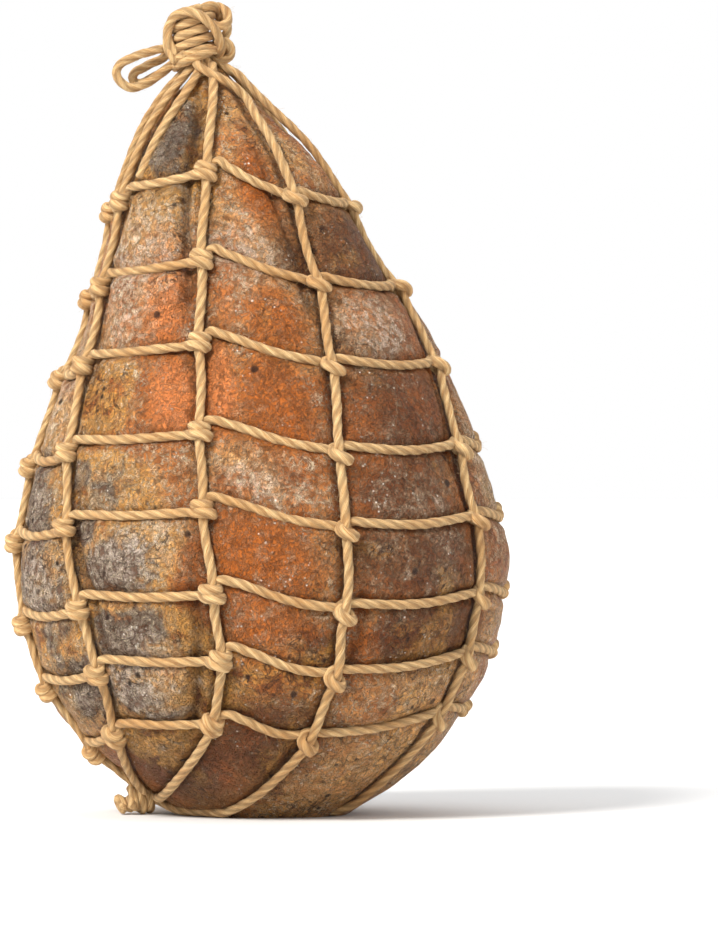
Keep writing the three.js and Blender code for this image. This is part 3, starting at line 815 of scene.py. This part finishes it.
def foot_ends(last):
    """A string's last points, under the tie at the foot and into the knot."""
    aside = unit(last - FOOT_GATHER)
    to_knot = knot_middle() - FOOT_GATHER
    ways = [4.2 * aside + 0.15 * to_knot, 2.6 * aside + 0.45 * to_knot, 0.8 * aside + to_knot]
    return above_floor(FOOT_GATHER + np.array(ways))


def knot_middle():
    low, high = (np.array(corner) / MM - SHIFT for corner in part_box("bottom_knot"))
    return (low + high) / 2 + KNOT_SETTLED


def build_string(node, start, route, normals, material):
    """Twine that comes out of the binding and then lies on the skin."""
    normals = np.vstack([np.repeat(normals[:1], len(start), 0), normals])
    part = rope_mesh(np.vstack([start, route]), normals=normals, flat=STRING_FLATNESS)
    twine_object(node, [part], material)


def build_strings(material):
    for string in range(STRINGS):
        route, normals = string_points(string)
        start = out_of_binding(neck_bearing(string))
        if string == CROSSING_STRING:
            start = NECK_TIP + CROSSING_START
            below = route[:, 2] < start[-1, 2] - CROSSING_GAP
            route, normals = route[below], normals[below]
        build_string(f"string_{string + 1}", start, route, normals, material)


def build_lead(material):
    """The twine's own end, which comes down from the binding to the first hoop."""
    share = np.linspace(0.06, 1, 12)
    points, normals = skin_frame(1.5 - 0.2 * share, 0.9 * share)
    route = points + normals * (STRING_LIFT + 0.9)
    start = out_of_binding(NECK_GATHER_BEARING + LEAD_SLOT * NECK_SLOT_ANGLE)
    build_string("hoop_lead", start, route, normals, material)


# ---- Hoops

# Two ways a hoop is hitched round a string: right, up and outward in mm from the crossing.
DOUBLE_HITCH = [
    (-5.4, -0.9, 1.5), (-3.1, -1.0, 2.9), (-0.7, -1.4, 4.7), (1.6, -2.0, 4.4), (2.8, -2.2, 2.5),
    (2.0, -1.2, 0.4), (-0.2, 0.2, -0.6), (-2.1, 1.2, 0.4), (-2.8, 1.9, 2.2), (-1.8, 1.9, 4.1),
    (0.1, 1.3, 4.9), (2.0, 0.9, 3.9), (2.8, 1.4, 2.1), (2.1, 2.8, 0.4), (2.3, 4.3, 0.4),
    (4.4, 5.1, 1.1),
]

SINGLE_HITCH = [
    (-4, 2.2, 0.8), (-0.2, 1.4, -0.6), (2.3, 0.0, 0.4), (3.1, -1.5, 2.2), (2.0, -2.3, 3.9),
    (-0.2, -1.6, 4.7), (-2.4, -0.4, 3.9), (-3.1, 1.0, 2.3), (-2.2, 2.9, 0.8), (0.4, 4.0, -0.1),
    (4, 4.4, 0.8),
]

FRONT_SWELL = 1.22  # how much fatter the twine looks where it is drawn over the front
BACK_SWELL = 0.97
FRONT_HEIGHT = 2.3  # the hitch's twine is in front when it is this far out
HITCH_HALF = 8.6  # the hoop's own line starts this far from the crossing
LONGEST_HALF = 0.42  # but no further than this share of the way to the next one
SPAN_STATIONS = 13
HOOP_FLATNESS = 0.08


def hitch_points(string, hoop):
    """Route of one hitch in space, its normals and the twine's thickness along it."""
    single = string in SINGLE_BAND_STRINGS
    local = np.array(SINGLE_HITCH if single else DOUBLE_HITCH, float)
    lean = RANDOM.normal(0, 0.12)
    grow = 1 + RANDOM.normal(0, 0.04)
    local[1:-1, 0] += lean * local[1:-1, 1]
    local[:, :2] *= grow
    local[:, 2] *= 1 + RANDOM.normal(0, 0.03)
    points, right, up, outward = local_frames([float(string)], [float(hoop)])
    turned = smoothstep(2.4, 5.5, np.abs(local[:, :1]))
    across = right * (1 - turned) + hoop_direction(string, hoop) * turned
    placed = points + local[:, :1] * across + local[:, 1:2] * up + local[:, 2:] * outward
    tight = np.where(local[:, 2] > FRONT_HEIGHT, FRONT_SWELL, BACK_SWELL)
    return placed, np.repeat(outward, len(local), 0), tight


def hoop_direction(string, hoop):
    ends, _ = skin_frame([string - 0.08, string + 0.08], hoop)
    return unit(ends[1:] - ends[:1])


def hoop_span(string, hoop):
    """The hoop's own line from one string to the next, clear of both hitches."""
    corners, _ = skin_frame([string, string + 1], hoop)
    clear = min(HITCH_HALF / np.linalg.norm(corners[1] - corners[0]), LONGEST_HALF)
    place = string + np.linspace(clear, 1 - clear, SPAN_STATIONS)
    above, _ = skin_frame(place, hoop - 0.02)
    below, _ = skin_frame(place, hoop + 0.02)
    row_span = np.linalg.norm(below - above, axis=1) / 0.04
    points, normals = skin_frame(place, hoop - hoop_run(place) / row_span)
    return points + normals * STRING_LIFT, normals, np.ones(SPAN_STATIONS)


def build_hoop(hoop, material):
    legs = []
    for string in range(STRINGS):
        legs.append(hitch_points(string, hoop))
        legs.append(hoop_span(string, hoop))
    route, normals, tight = (np.concatenate(part) for part in zip(*legs))
    part = rope_mesh(route, closed=True, normals=normals, flat=HOOP_FLATNESS, swell=tight)
    twine_object(f"hoop_{hoop}", [part], material)


# ---- Binding, bights and bottom knot

BINDING_FOOT = HAM_HEIGHT + 4.2
UPRIGHT_ENDS = 7
COIL_STEPS = 16


def coil_route(centre, radius, turns, pitch, tilt, start):
    """Turns of twine round an upright axis, tilted about the front-to-back axis."""
    count = int(turns * COIL_STEPS) + 1
    angle = np.radians(start) + np.linspace(0, turns * 2 * math.pi, count)
    across = radius * np.cos(angle)
    up = np.linspace(0, pitch * turns, count)
    lean = math.radians(tilt)
    tilted = [
        across * math.cos(lean) - 0.3 * up * math.sin(lean),
        radius * np.sin(angle),
        up + across * math.sin(lean),
    ]
    return np.stack(tilted, axis=-1) + centre


# Strands that lie over the wraps: right, back and up from the foot of the binding.
BINDING_STRANDS = [
    [  # over the front from the lower left to the lower right
        [-7.4, -4.5, 0.5], [-10.4, -5.0, 6.0], [-10.0, -6.0, 12.0], [-6.6, -8.2, 16.2],
        [-1.0, -10.2, 16.8], [4.4, -10.6, 13.6], [8.4, -8.8, 9.0], [10.2, -5.6, 4.0],
        [9.0, -1.0, -0.6],
    ],
    [  # down the left side of the wraps
        [-4.0, 3.0, 15.0], [-8.0, -0.5, 14.0], [-10.8, -2.4, 8.0], [-10.2, -4.2, 2.4],
        [-7.2, -5.6, -2.4],
    ],
    [  # lump of the last turns at the upper back
        [-3, 4, 12], [1, 6, 16], [5, 5, 18.6], [9.0, 1.5, 19.6], [12.2, -1.6, 17.4],
        [12.6, -3.2, 13.4], [9.6, -4.2, 11.6], [6.2, -2.2, 13.6], [6.0, 2.5, 16.4],
        [9.4, 4.4, 16.8], [12.6, 2.6, 12.6], [11.4, 1.0, 7.6], [8.2, 1.6, 3.6],
    ],
    [  # a second turn of the lump, across its top
        [0, -3.5, 14.2], [2.4, -4.6, 18.0], [6.4, -3.4, 19.8], [9.0, 0.5, 18.4],
        [9.6, 4.5, 15.0], [7.4, 5.6, 10.5],
    ],
    [  # small loop at the right
        [8.0, -3.8, 5.0], [11.6, -4.6, 5.6], [14.0, -3.6, 3.2], [13.4, -2.0, 0.2],
        [10.4, -1.6, -1.2], [7.2, -1.0, -0.4],
    ],
    [  # and one behind it
        [7.0, 4.0, 6.0], [11.0, 3.4, 5.4], [13.2, 1.6, 2.6], [11.6, 0.4, -0.6],
        [8.0, 1.0, -1.0],
    ],
]


def upright_end(turn):
    """One string's own end, seen between the wraps and at the top."""
    angle = turn * 2 * math.pi / UPRIGHT_ENDS
    spot = np.array([3.6 * math.cos(angle), 3.6 * math.sin(angle), -3])
    bend = np.array([0.6 * math.sin(angle), 0.6 * math.cos(angle), 0])
    tall = 19.0 + 1.6 * math.sin(2.3 * turn)
    return np.array([spot, spot + bend + [0, 0, tall / 2], spot - bend + [0, 0, tall]])


def build_binding(material):
    """Wraps over the gathered strings, crossed by strands and knotted at the back."""
    routes = [
        coil_route([0, 0, 0.6], 7.5, 4.3, 4.0, tilt=15, start=190),
        coil_route([0.6, 0, -1.4], 8.7, 1.25, 2.6, tilt=19, start=150),
    ]
    routes += [np.array(strand) for strand in BINDING_STRANDS]
    routes += [upright_end(turn) for turn in range(UPRIGHT_ENDS)]
    foot = [NECK_TIP[0] - BINDING_SHIFT, 0, BINDING_FOOT]
    twine_object("neck_binding", [rope_mesh(route + foot) for route in routes], material)


# Out to the left of the binding, towards the back, and above the tip of the neck.
OUTER_BIGHT = [
    [1.2, -1.6, 7.2], [4.8, -2.2, 6.4], [10, -2.8, 4.8], [14.6, -3.2, 2.8],
    [17.8, -3.4, 0.6], [18.8, -3.6, -2], [17.6, -3.6, -5], [15, -3.4, -7.4],
    [11.8, -3.2, -7.9], [8, -2.8, -6.6], [4.2, -2.2, -4.4], [0.9, -1.6, -1.8],
]

INNER_BIGHT = [
    [0.8, 3.4, 4], [4.6, 3.4, 2.2], [8.5, 3.2, 0.2], [11.5, 3, -1.6], [12.6, 2.8, -4],
    [11, 2.8, -6], [8, 3, -5.4], [4.6, 3.2, -3.6], [1.4, 3.4, -1.6],
]

BIGHT_ROOTS = ([-4.0, 0.0, 7.8], [-4.5, 0.0, 2.4])  # where both ends go into the wraps


def build_bight(node, points, material):
    """A bight of twine that goes out of the binding and back into it."""
    reach = BINDING_RADIUS + CORD_DIAMETER / 2 + TWINE_CLEARANCE
    left = NECK_TIP[0] - BINDING_SHIFT - reach
    drawn_in = [BIGHT_ROOTS[0], *points, BIGHT_ROOTS[1]]
    part = rope_mesh([[left - out, back, HAM_HEIGHT + up] for out, back, up in drawn_in])
    made = twine_object(node, [part], material)


FOOT_TIE_TURNS = 2.6
FOOT_TIE_RADIUS = 4.9
KNOT_FLOOR = 0.05
KNOT_TAILS = [
    [[1.5, -1, 1.5], [2.0, -3.4, 1.6], [2.6, -5.2, 0.2], [2.4, -6.2, -1.6]],
    [[-1.5, -1, -1], [-1.6, -3.4, -1.4], [-0.8, -5.6, -2.0]],
]


def foot_tie():
    """Turns of twine round the strings between the foot gather and the knot."""
    to_knot = knot_middle() - FOOT_GATHER
    side = unit(np.cross(to_knot, [0, 0, 1.0]))
    over = np.cross(side, unit(to_knot))
    angle = np.linspace(0, FOOT_TIE_TURNS * 2 * math.pi, 44)[:, None]
    along = np.linspace(0.16, 0.78, angle.size)[:, None]
    turns = FOOT_TIE_RADIUS * (np.cos(angle) * side + np.sin(angle) * over)
    return above_floor(FOOT_GATHER + along * to_knot + turns)


def build_bottom_knot(material):
    """The knot that gathers the strings at the foot, its two tails and the tie above it."""
    angle = np.linspace(0, 3.3 * math.pi, 26)
    knot = np.stack([
        3.0 * np.cos(angle) + 0.3 * np.sin(3 * angle),
        2.6 * np.sin(angle),
        1.9 * np.sin(2 * angle + 0.6),
    ], axis=-1)
    middle = knot_middle()
    parts = [rope_mesh(knot + middle), rope_mesh(foot_tie())]
    parts += [rope_mesh(np.array(tail) + middle) for tail in KNOT_TAILS]
    for part in parts:
        above_floor(part[0], KNOT_FLOOR)
    twine_object("bottom_knot", parts, material)


# ---- Loose fibres

FIBRE_COUNT = 3600
FIBRE_RADIUS = 0.055
FIBRE_TIP = 0.45  # how much of its radius a fibre has left at its tip
FIBRE_POINTS = 6
FIBRE_SIDES = 3
FIBRE_FLOOR = 0.3


def fibre(centres, index):
    """One loose fibre that leaves the twine's surface and curls."""
    along = unit(centres[index + 1] - centres[index - 1])
    out = RANDOM.normal(size=3)
    out = unit(out - along * np.dot(out, along))
    heading = unit(out * RANDOM.uniform(0.3, 1.0) + along * RANDOM.choice([-1, 1]))
    length = RANDOM.uniform(1.0, 3.4)
    curl = RANDOM.normal(scale=0.35, size=3)
    start = centres[index] + out * TWINE_RADIUS * 0.9
    t = np.linspace(0, 1, FIBRE_POINTS)[:, None]
    return start + heading * length * t + curl * length * t ** 2


def fibre_tube(line):
    ring = np.arange(FIBRE_SIDES)[None, :] * 2 * math.pi / FIBRE_SIDES
    thin = FIBRE_RADIUS * np.linspace(1, FIBRE_TIP, FIBRE_POINTS)[:, None, None]
    return (line[:, None, :] + thin * spokes(carried_frames(line), ring)).reshape(-1, 3)


def fibre_faces(first):
    last = first + FIBRE_SIDES * (FIBRE_POINTS - 1)
    ends = [(first + 2, first + 1, first), (last, last + 1, last + 2)]
    return ring_faces(FIBRE_POINTS, FIBRE_SIDES, first) + ends


def build_fibres(material):
    lengths = np.array([len(rope) for rope in ROPES], float)
    chosen = RANDOM.choice(len(ROPES), FIBRE_COUNT, p=lengths / lengths.sum())
    tubes, faces = [], []
    for rope in chosen:
        centres = ROPES[rope]
        line = fibre(centres, RANDOM.integers(2, len(centres) - 2))
        if line[:, 2].min() >= FIBRE_FLOOR:
            faces += fibre_faces(len(tubes) * FIBRE_SIDES * FIBRE_POINTS)
            tubes.append(fibre_tube(line))
    made = make_object("twine_fibres", to_row(np.vstack(tubes)), faces, material)
    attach(made, "root")


# ---- Materials


class Nodes:
    """Short calls for building a material's node tree."""

    def __init__(self, name):
        self.material = bpy.data.materials.new(name)
        self.material.use_nodes = True
        self.tree = self.material.node_tree
        self.shader = self.tree.nodes["Principled BSDF"]
        self.spot = self.tree.nodes.new("ShaderNodeTexCoord").outputs["Object"]
        self.ground = None

    def put(self, socket, value):
        if isinstance(value, bpy.types.NodeSocket):
            self.tree.links.new(value, socket)
        else:
            socket.default_value = value

    def feed(self, name, value):
        """Gives one of the shader's inputs its value."""
        self.put(self.shader.inputs[name], value)

    def node(self, kind, **inputs):
        made = self.tree.nodes.new(kind)
        for key, value in inputs.items():
            self.put(made.inputs[key.replace("_", " ")], value)
        return made

    def attribute(self, name, output="Fac"):
        made = self.tree.nodes.new("ShaderNodeAttribute")
        made.attribute_name = name
        return made.outputs[output]

    def mapped(self, vector, **how):
        return self.node("ShaderNodeMapping", Vector=vector, **how).outputs["Vector"]

    def noise(self, vector, scale, detail, roughness=0.55, distortion=0.0):
        made = self.node("ShaderNodeTexNoise", Vector=vector, Scale=scale, Detail=detail,
                         Roughness=roughness, Distortion=distortion)
        return made.outputs["Fac"]

    def cells(self, vector, scale):
        made = self.node("ShaderNodeTexVoronoi", Vector=vector, Scale=scale)
        return made.outputs["Distance"]

    def span(self, value, low, high, to_low=0.0, to_high=1.0):
        made = self.node("ShaderNodeMapRange", Value=value, From_Min=low, From_Max=high,
                         To_Min=to_low, To_Max=to_high)
        made.interpolation_type = "SMOOTHSTEP"
        return made.outputs["Result"]

    def math(self, operation, first, second=0.0):
        made = self.tree.nodes.new("ShaderNodeMath")
        made.operation = operation
        self.put(made.inputs[0], first)
        self.put(made.inputs[1], second)
        return made.outputs[0]

    def times(self, first, *others):
        for value in others:
            first = self.math("MULTIPLY", first, value)
        return first

    def most(self, first, *others):
        for value in others:
            first = self.math("MAXIMUM", first, value)
        return first

    def mix(self, share, first, second, blend="MIX"):
        made = self.tree.nodes.new("ShaderNodeMix")
        made.data_type = "RGBA"
        made.blend_type = blend
        self.put(made.inputs["Factor"], share)
        self.put(made.inputs[6], first)
        self.put(made.inputs[7], second)
        return made.outputs[2]

    def paint(self, share, strength, *screen):
        """Lays a colour over the ground so far, where the share is near 1."""
        self.ground = self.mix(self.times(share, strength), self.ground, colour(*screen))

    def bump(self, height, strength, distance, normal=None):
        made = self.node("ShaderNodeBump", Height=height, Strength=strength,
                         Distance=distance)
        if normal is not None:
            self.put(made.inputs["Normal"], normal)
        return made.outputs["Normal"]


def colour(red, green, blue):
    """Linear colour with alpha from screen values of 0 to 255."""
    def linear(value):
        value /= 255
        return value / 12.92 if value <= 0.04045 else ((value + 0.055) / 1.055) ** 2.4
    return (linear(red), linear(green), linear(blue), 1.0)


TWINE_DARK = (196, 139, 77)
TWINE_PALE = (252, 219, 160)


def twine_material():
    """Laid jute: pale plies, painted shade in the hollows between them, fine fibres along the
    lay, their pale streaks partly a painted highlight.
    """
    n = Nodes("butchers_twine")
    lay = n.attribute("lay", "Vector")
    strands = n.noise(n.mapped(lay, Scale=(6.0, 6.0, 0.2)), 1.0, 5.0, 0.6, 0.5)
    fine = n.noise(n.mapped(lay, Scale=(13.0, 13.0, 0.7)), 1.0, 4.0, 0.7, 0.3)
    stains = n.noise(n.spot, 34.0, 4.0)
    n.ground = n.mix(n.span(strands, 0.32, 0.68), colour(*TWINE_DARK), colour(*TWINE_PALE))
    n.paint(n.span(stains, 0.42, 0.7), 0.6, 200, 142, 76)
    # Pale fibres along the lay, partly a painted highlight on the raised fibres of the fine
    # bump.
    n.paint(n.span(fine, 0.52, 0.8), 0.6, 255, 244, 208)
    n.paint(n.span(fine, 0.46, 0.3), 0.65, 126, 80, 36)
    # Painted shade in the hollows between the plies.
    n.paint(n.attribute("cusp_shade"), 0.5, 108, 66, 28)
    n.feed("Base Color", n.ground)
    n.feed("Roughness", n.span(strands, 0.2, 0.8, 0.72, 0.9))
    n.shader.inputs["Sheen Weight"].default_value = 0.1
    n.shader.inputs["Specular IOR Level"].default_value = 0.3
    n.feed("Normal", n.bump(fine, 0.5, 0.0004, n.bump(strands, 0.9, 0.0009)))
    return n.material


def fibre_material():
    n = Nodes("twine_fibre")
    tone = n.noise(n.spot, 60.0, 3.0)
    n.feed("Base Color", n.mix(tone, colour(178, 136, 84), colour(236, 208, 158)))
    n.feed("Roughness", n.span(tone, 0.3, 0.7, 0.7, 0.9))
    return n.material


CURL_SHADE = 0.00045  # how far below a curled fibre its shade is drawn, in metres


class Skin(Nodes):
    """The noises and masks that the skin's colours and bumps are made from."""

    def __init__(self):
        super().__init__("cured_skin")
        self.broad = self.noise(self.spot, 24.0, 6.0, 0.62, 0.6)
        self.middle = self.noise(self.spot, 95.0, 7.0, 0.68, 0.8)
        self.fine = self.noise(self.spot, 330.0, 6.0, 0.72, 0.6)
        fibrous = self.mapped(self.spot, Scale=(780.0, 780.0, 460.0))
        self.grain = self.noise(fibrous, 1.0, 4.0, 0.7, 1.2)

    def curls(self, scale, width, offset):
        """Thin wandering lines like dried fibres on the skin."""
        wave = self.noise(self.mapped(self.spot, Location=offset), scale, 2.0, 0.5, 1.4)
        away = self.math("ABSOLUTE", self.math("SUBTRACT", wave, 0.5))
        return self.span(away, width, 0.0)

    def zone(self, name, spread, low, high):
        """One of the painted masks with a ragged edge."""
        ragged = self.times(self.math("SUBTRACT", spread, 0.5), 1.7)
        return self.span(self.math("ADD", self.attribute(name), ragged), low, high)


def paint_zones(n):
    """Tan and pink ground with red, amber and brown zones. Returns where they are."""
    n.ground = n.mix(n.span(n.broad, 0.38, 0.62), colour(190, 114, 60), colour(246, 190, 138))
    n.paint(n.span(n.middle, 0.5, 0.66), 0.8, 146, 82, 40)
    n.paint(n.zone("red", n.broad, 0.25, 0.85), 0.85, 240, 146, 92)
    n.paint(n.zone("amber", n.broad, 0.2, 0.8), 0.9, 188, 104, 36)
    n.paint(n.zone("brown", n.broad, 0.25, 0.85), 0.88, 102, 52, 16)
    rich = n.most(*(n.attribute(name) for name in ("amber", "brown", "red")))
    return n.span(rich, 0.15, 0.8)


def paint_mould(n, rich):
    """Ochre, grey mould and pale bloom, with painted shade in the hollows of the middle and
    fine bumps. Returns mould and bloom.
    """
    spread = n.times(n.zone("mould", n.broad, 0.05, 0.35), n.span(n.middle, 0.36, 0.5))
    n.paint(spread, 0.75, 224, 170, 100)
    mould = n.times(n.zone("mould", n.middle, 0.45, 0.8), n.span(n.broad, 0.38, 0.52))
    grey = n.mix(n.span(n.fine, 0.36, 0.62), colour(46, 49, 54), colour(106, 105, 102))
    n.ground = n.mix(n.times(mould, 0.85), n.ground, grey)
    # Painted shade in the hollows of the middle bump, weaker on the red, amber and brown zones.
    n.paint(n.times(n.span(n.middle, 0.48, 0.36), n.span(rich, 0, 1, 1, 0.5)), 0.5, 100, 52, 26)
    bloom = n.times(n.zone("bloom", n.middle, 0.2, 0.85), n.span(n.fine, 0.4, 0.62, 0.2, 1))
    n.paint(bloom, 0.66, 236, 214, 196)
    # Painted shade in the crevices of the fine bump, weaker on the red, amber and brown zones.
    n.paint(n.times(n.span(n.fine, 0.48, 0.36), n.span(rich, 0, 1, 1, 0.55)), 0.55, 94, 50, 22)
    plain = n.math("SUBTRACT", 1.0, n.most(mould, bloom))
    n.ground = n.mix(plain, n.ground, colour(255, 246, 212), "MULTIPLY")
    return mould, bloom


def paint_curls(n, rich, mould):
    """Pale curled fibres, each with its shade just below it. Returns the fibres."""
    both = n.most(n.curls(400.0, 0.075, (0.3, 0, 0)), n.curls(210.0, 0.042, (0, 0.2, 0)))
    curled = n.times(both, n.span(n.fine, 0.4, 0.56))
    under = n.most(n.curls(400.0, 0.085, (0.3, 0, CURL_SHADE)),
                   n.curls(210.0, 0.05, (0, 0.2, CURL_SHADE)))
    bare = n.math("SUBTRACT", 1.0, curled)
    n.paint(n.times(under, bare, n.span(n.fine, 0.38, 0.54)), 0.5, 76, 38, 16)
    pale = n.times(curled, n.span(n.middle, 0.38, 0.6, 0.3, 0.95),
                   n.span(rich, 0.0, 1.0, 1.0, 0.25))
    n.paint(pale, n.span(mould, 0.0, 1.0, 1.0, 0.6), 255, 226, 188)
    return curled


def paint_marks(n):
    """Grain, dark lines, cracks, pits, salt and pores. Returns where the skin is pitted."""
    n.paint(n.span(n.grain, 0.46, 0.34), 0.5, 84, 42, 18)
    lines = n.times(n.curls(120.0, 0.03, (0, 0.7, 0)), n.span(n.broad, 0.45, 0.6))
    n.paint(lines, 0.7, 60, 28, 12)
    cracks = n.times(n.curls(58.0, 0.011, (0.5, 0.1, 0)), n.span(n.broad, 0.51, 0.58))
    n.paint(cracks, 0.8, 48, 20, 10)
    pits = n.times(n.span(n.cells(n.spot, 62.0), 0.12, 0.07), n.span(n.broad, 0.43, 0.5))
    n.paint(pits, 0.85, 38, 18, 12)
    salt = n.times(n.span(n.cells(n.spot, 420.0), 0.24, 0.1), n.span(n.middle, 0.5, 0.62))
    n.paint(salt, 0.8, 255, 242, 226)
    pores = n.span(n.cells(n.mapped(n.spot, Scale=(1, 1, 0.8)), 150.0), 0.2, 0.08)
    pores = n.times(pores, n.span(n.broad, 0.5, 0.62))
    n.paint(pores, 0.9, 40, 18, 10)
    return n.most(pores, pits, cracks)


def skin_material():
    """Cured skin: its colours from the ground up, greasy where it's bare, and its bumps."""
    n = Skin()
    rich = paint_zones(n)
    mould, bloom = paint_mould(n, rich)
    curled = paint_curls(n, rich, mould)
    pitted = paint_marks(n)
    # Painted shade in the grooves and creases of the skin and beside the twine.
    n.paint(n.attribute("groove_shade"), 0.58, 60, 30, 14)
    n.feed("Base Color", n.ground)
    greasy = n.span(n.math("ADD", mould, bloom), 0.0, 0.8, 0.4, 0.78)
    n.feed("Roughness", n.math("ADD", greasy, n.span(n.fine, 0.3, 0.7, -0.06, 0.1)))
    n.shader.inputs["Specular IOR Level"].default_value = 0.24
    n.shader.inputs["Subsurface Weight"].default_value = 0.05
    n.shader.inputs["Subsurface Radius"].default_value = (0.004, 0.0015, 0.0008)
    bumps = n.bump(n.middle, 0.7, 0.003)
    bumps = n.bump(n.fine, 0.8, 0.0013, bumps)
    bumps = n.bump(pitted, 0.7, -0.001, bumps)
    bumps = n.bump(curled, 1.0, 0.0011, bumps)
    n.feed("Normal", n.bump(n.grain, 0.9, 0.0011, bumps))
    return n.material


def floor_material():
    n = Nodes("pale_floor")
    tone = n.noise(n.spot, 3.0, 2.0)
    n.feed("Base Color", n.mix(tone, (0.86, 0.86, 0.86, 1.0), (0.88, 0.88, 0.88, 1.0)))
    n.shader.inputs["Roughness"].default_value = 0.85
    n.shader.inputs["Specular IOR Level"].default_value = 0.1
    return n.material


# ---- Stage, light and camera

CAMERA_PLACE = (0.0, -2.4, 0.132)
CAMERA_LENS = 232.9
CAMERA_SHIFT = 0.1046  # the ham stands left of the middle of the picture
SENSOR_WIDTH = 36.0
FLOOR_HALF = 30.0
WORLD_LIGHT = 0.66
WORLD_SEEN = 1.0


def build_camera():
    data = bpy.data.cameras.new("camera")
    data.lens = CAMERA_LENS
    data.sensor_width = SENSOR_WIDTH
    data.shift_x = CAMERA_SHIFT
    camera = add_object("camera", data)
    camera.location = CAMERA_PLACE
    camera.rotation_euler = (math.radians(90), 0, 0)
    bpy.context.scene.camera = camera


def build_floor():
    corners = FLOOR_HALF * np.array([[-1, -1, 0], [1, -1, 0], [1, 1, 0], [-1, 1, 0]])
    make_object("floor", corners, [(0, 1, 2, 3)], floor_material())


def sun(name, place, strength, softness, tint=(1, 1, 1)):
    """Even light from a direction, soft by the given angle in degrees."""
    data = bpy.data.lights.new(name, "SUN")
    data.energy = strength
    data.angle = math.radians(softness)
    data.color = tint
    light = add_object(name, data)
    light.location = place
    light.rotation_euler = (-Vector(place)).to_track_quat("-Z", "Y").to_euler()


def build_world():
    """A white studio: what the camera sees behind the ham is white, and its light is soft."""
    world = bpy.data.worlds.new("studio")
    world.use_nodes = True
    nodes, links = world.node_tree.nodes, world.node_tree.links
    background = nodes["Background"]
    background.inputs["Color"].default_value = (1, 1, 1, 1)
    rays = nodes.new("ShaderNodeLightPath")
    strength = nodes.new("ShaderNodeMapRange")
    strength.inputs["To Min"].default_value = WORLD_LIGHT
    strength.inputs["To Max"].default_value = WORLD_SEEN
    links.new(rays.outputs["Is Camera Ray"], strength.inputs["Value"])
    links.new(strength.outputs["Result"], background.inputs["Strength"])
    bpy.context.scene.world = world


def build_light():
    build_world()
    sun("key", (-1.0, -1.15, 1.3), 3.8, 20, (1, 0.98, 0.94))
    sun("fill", (1.3, -1.0, 0.6), 0.42, 60)
    sun("top", (-0.1, 0.5, 1.6), 0.75, 60)
    bpy.context.scene.view_settings.view_transform = "Standard"


# ---- The scene


def main():
    build_camera()
    twine = twine_material()
    build_bight("hanging_bight_outer", OUTER_BIGHT, twine)
    build_bight("hanging_bight_inner", INNER_BIGHT, twine)
    ham = build_ham(skin_material())
    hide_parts("cured_ham")
    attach(ham, "root")
    build_strings(twine)
    build_lead(twine)
    for hoop in range(1, HOOPS + 1):
        build_hoop(hoop, twine)
    build_binding(twine)
    build_bottom_knot(twine)
    build_fibres(fibre_material())
    build_floor()
    build_light()


main()
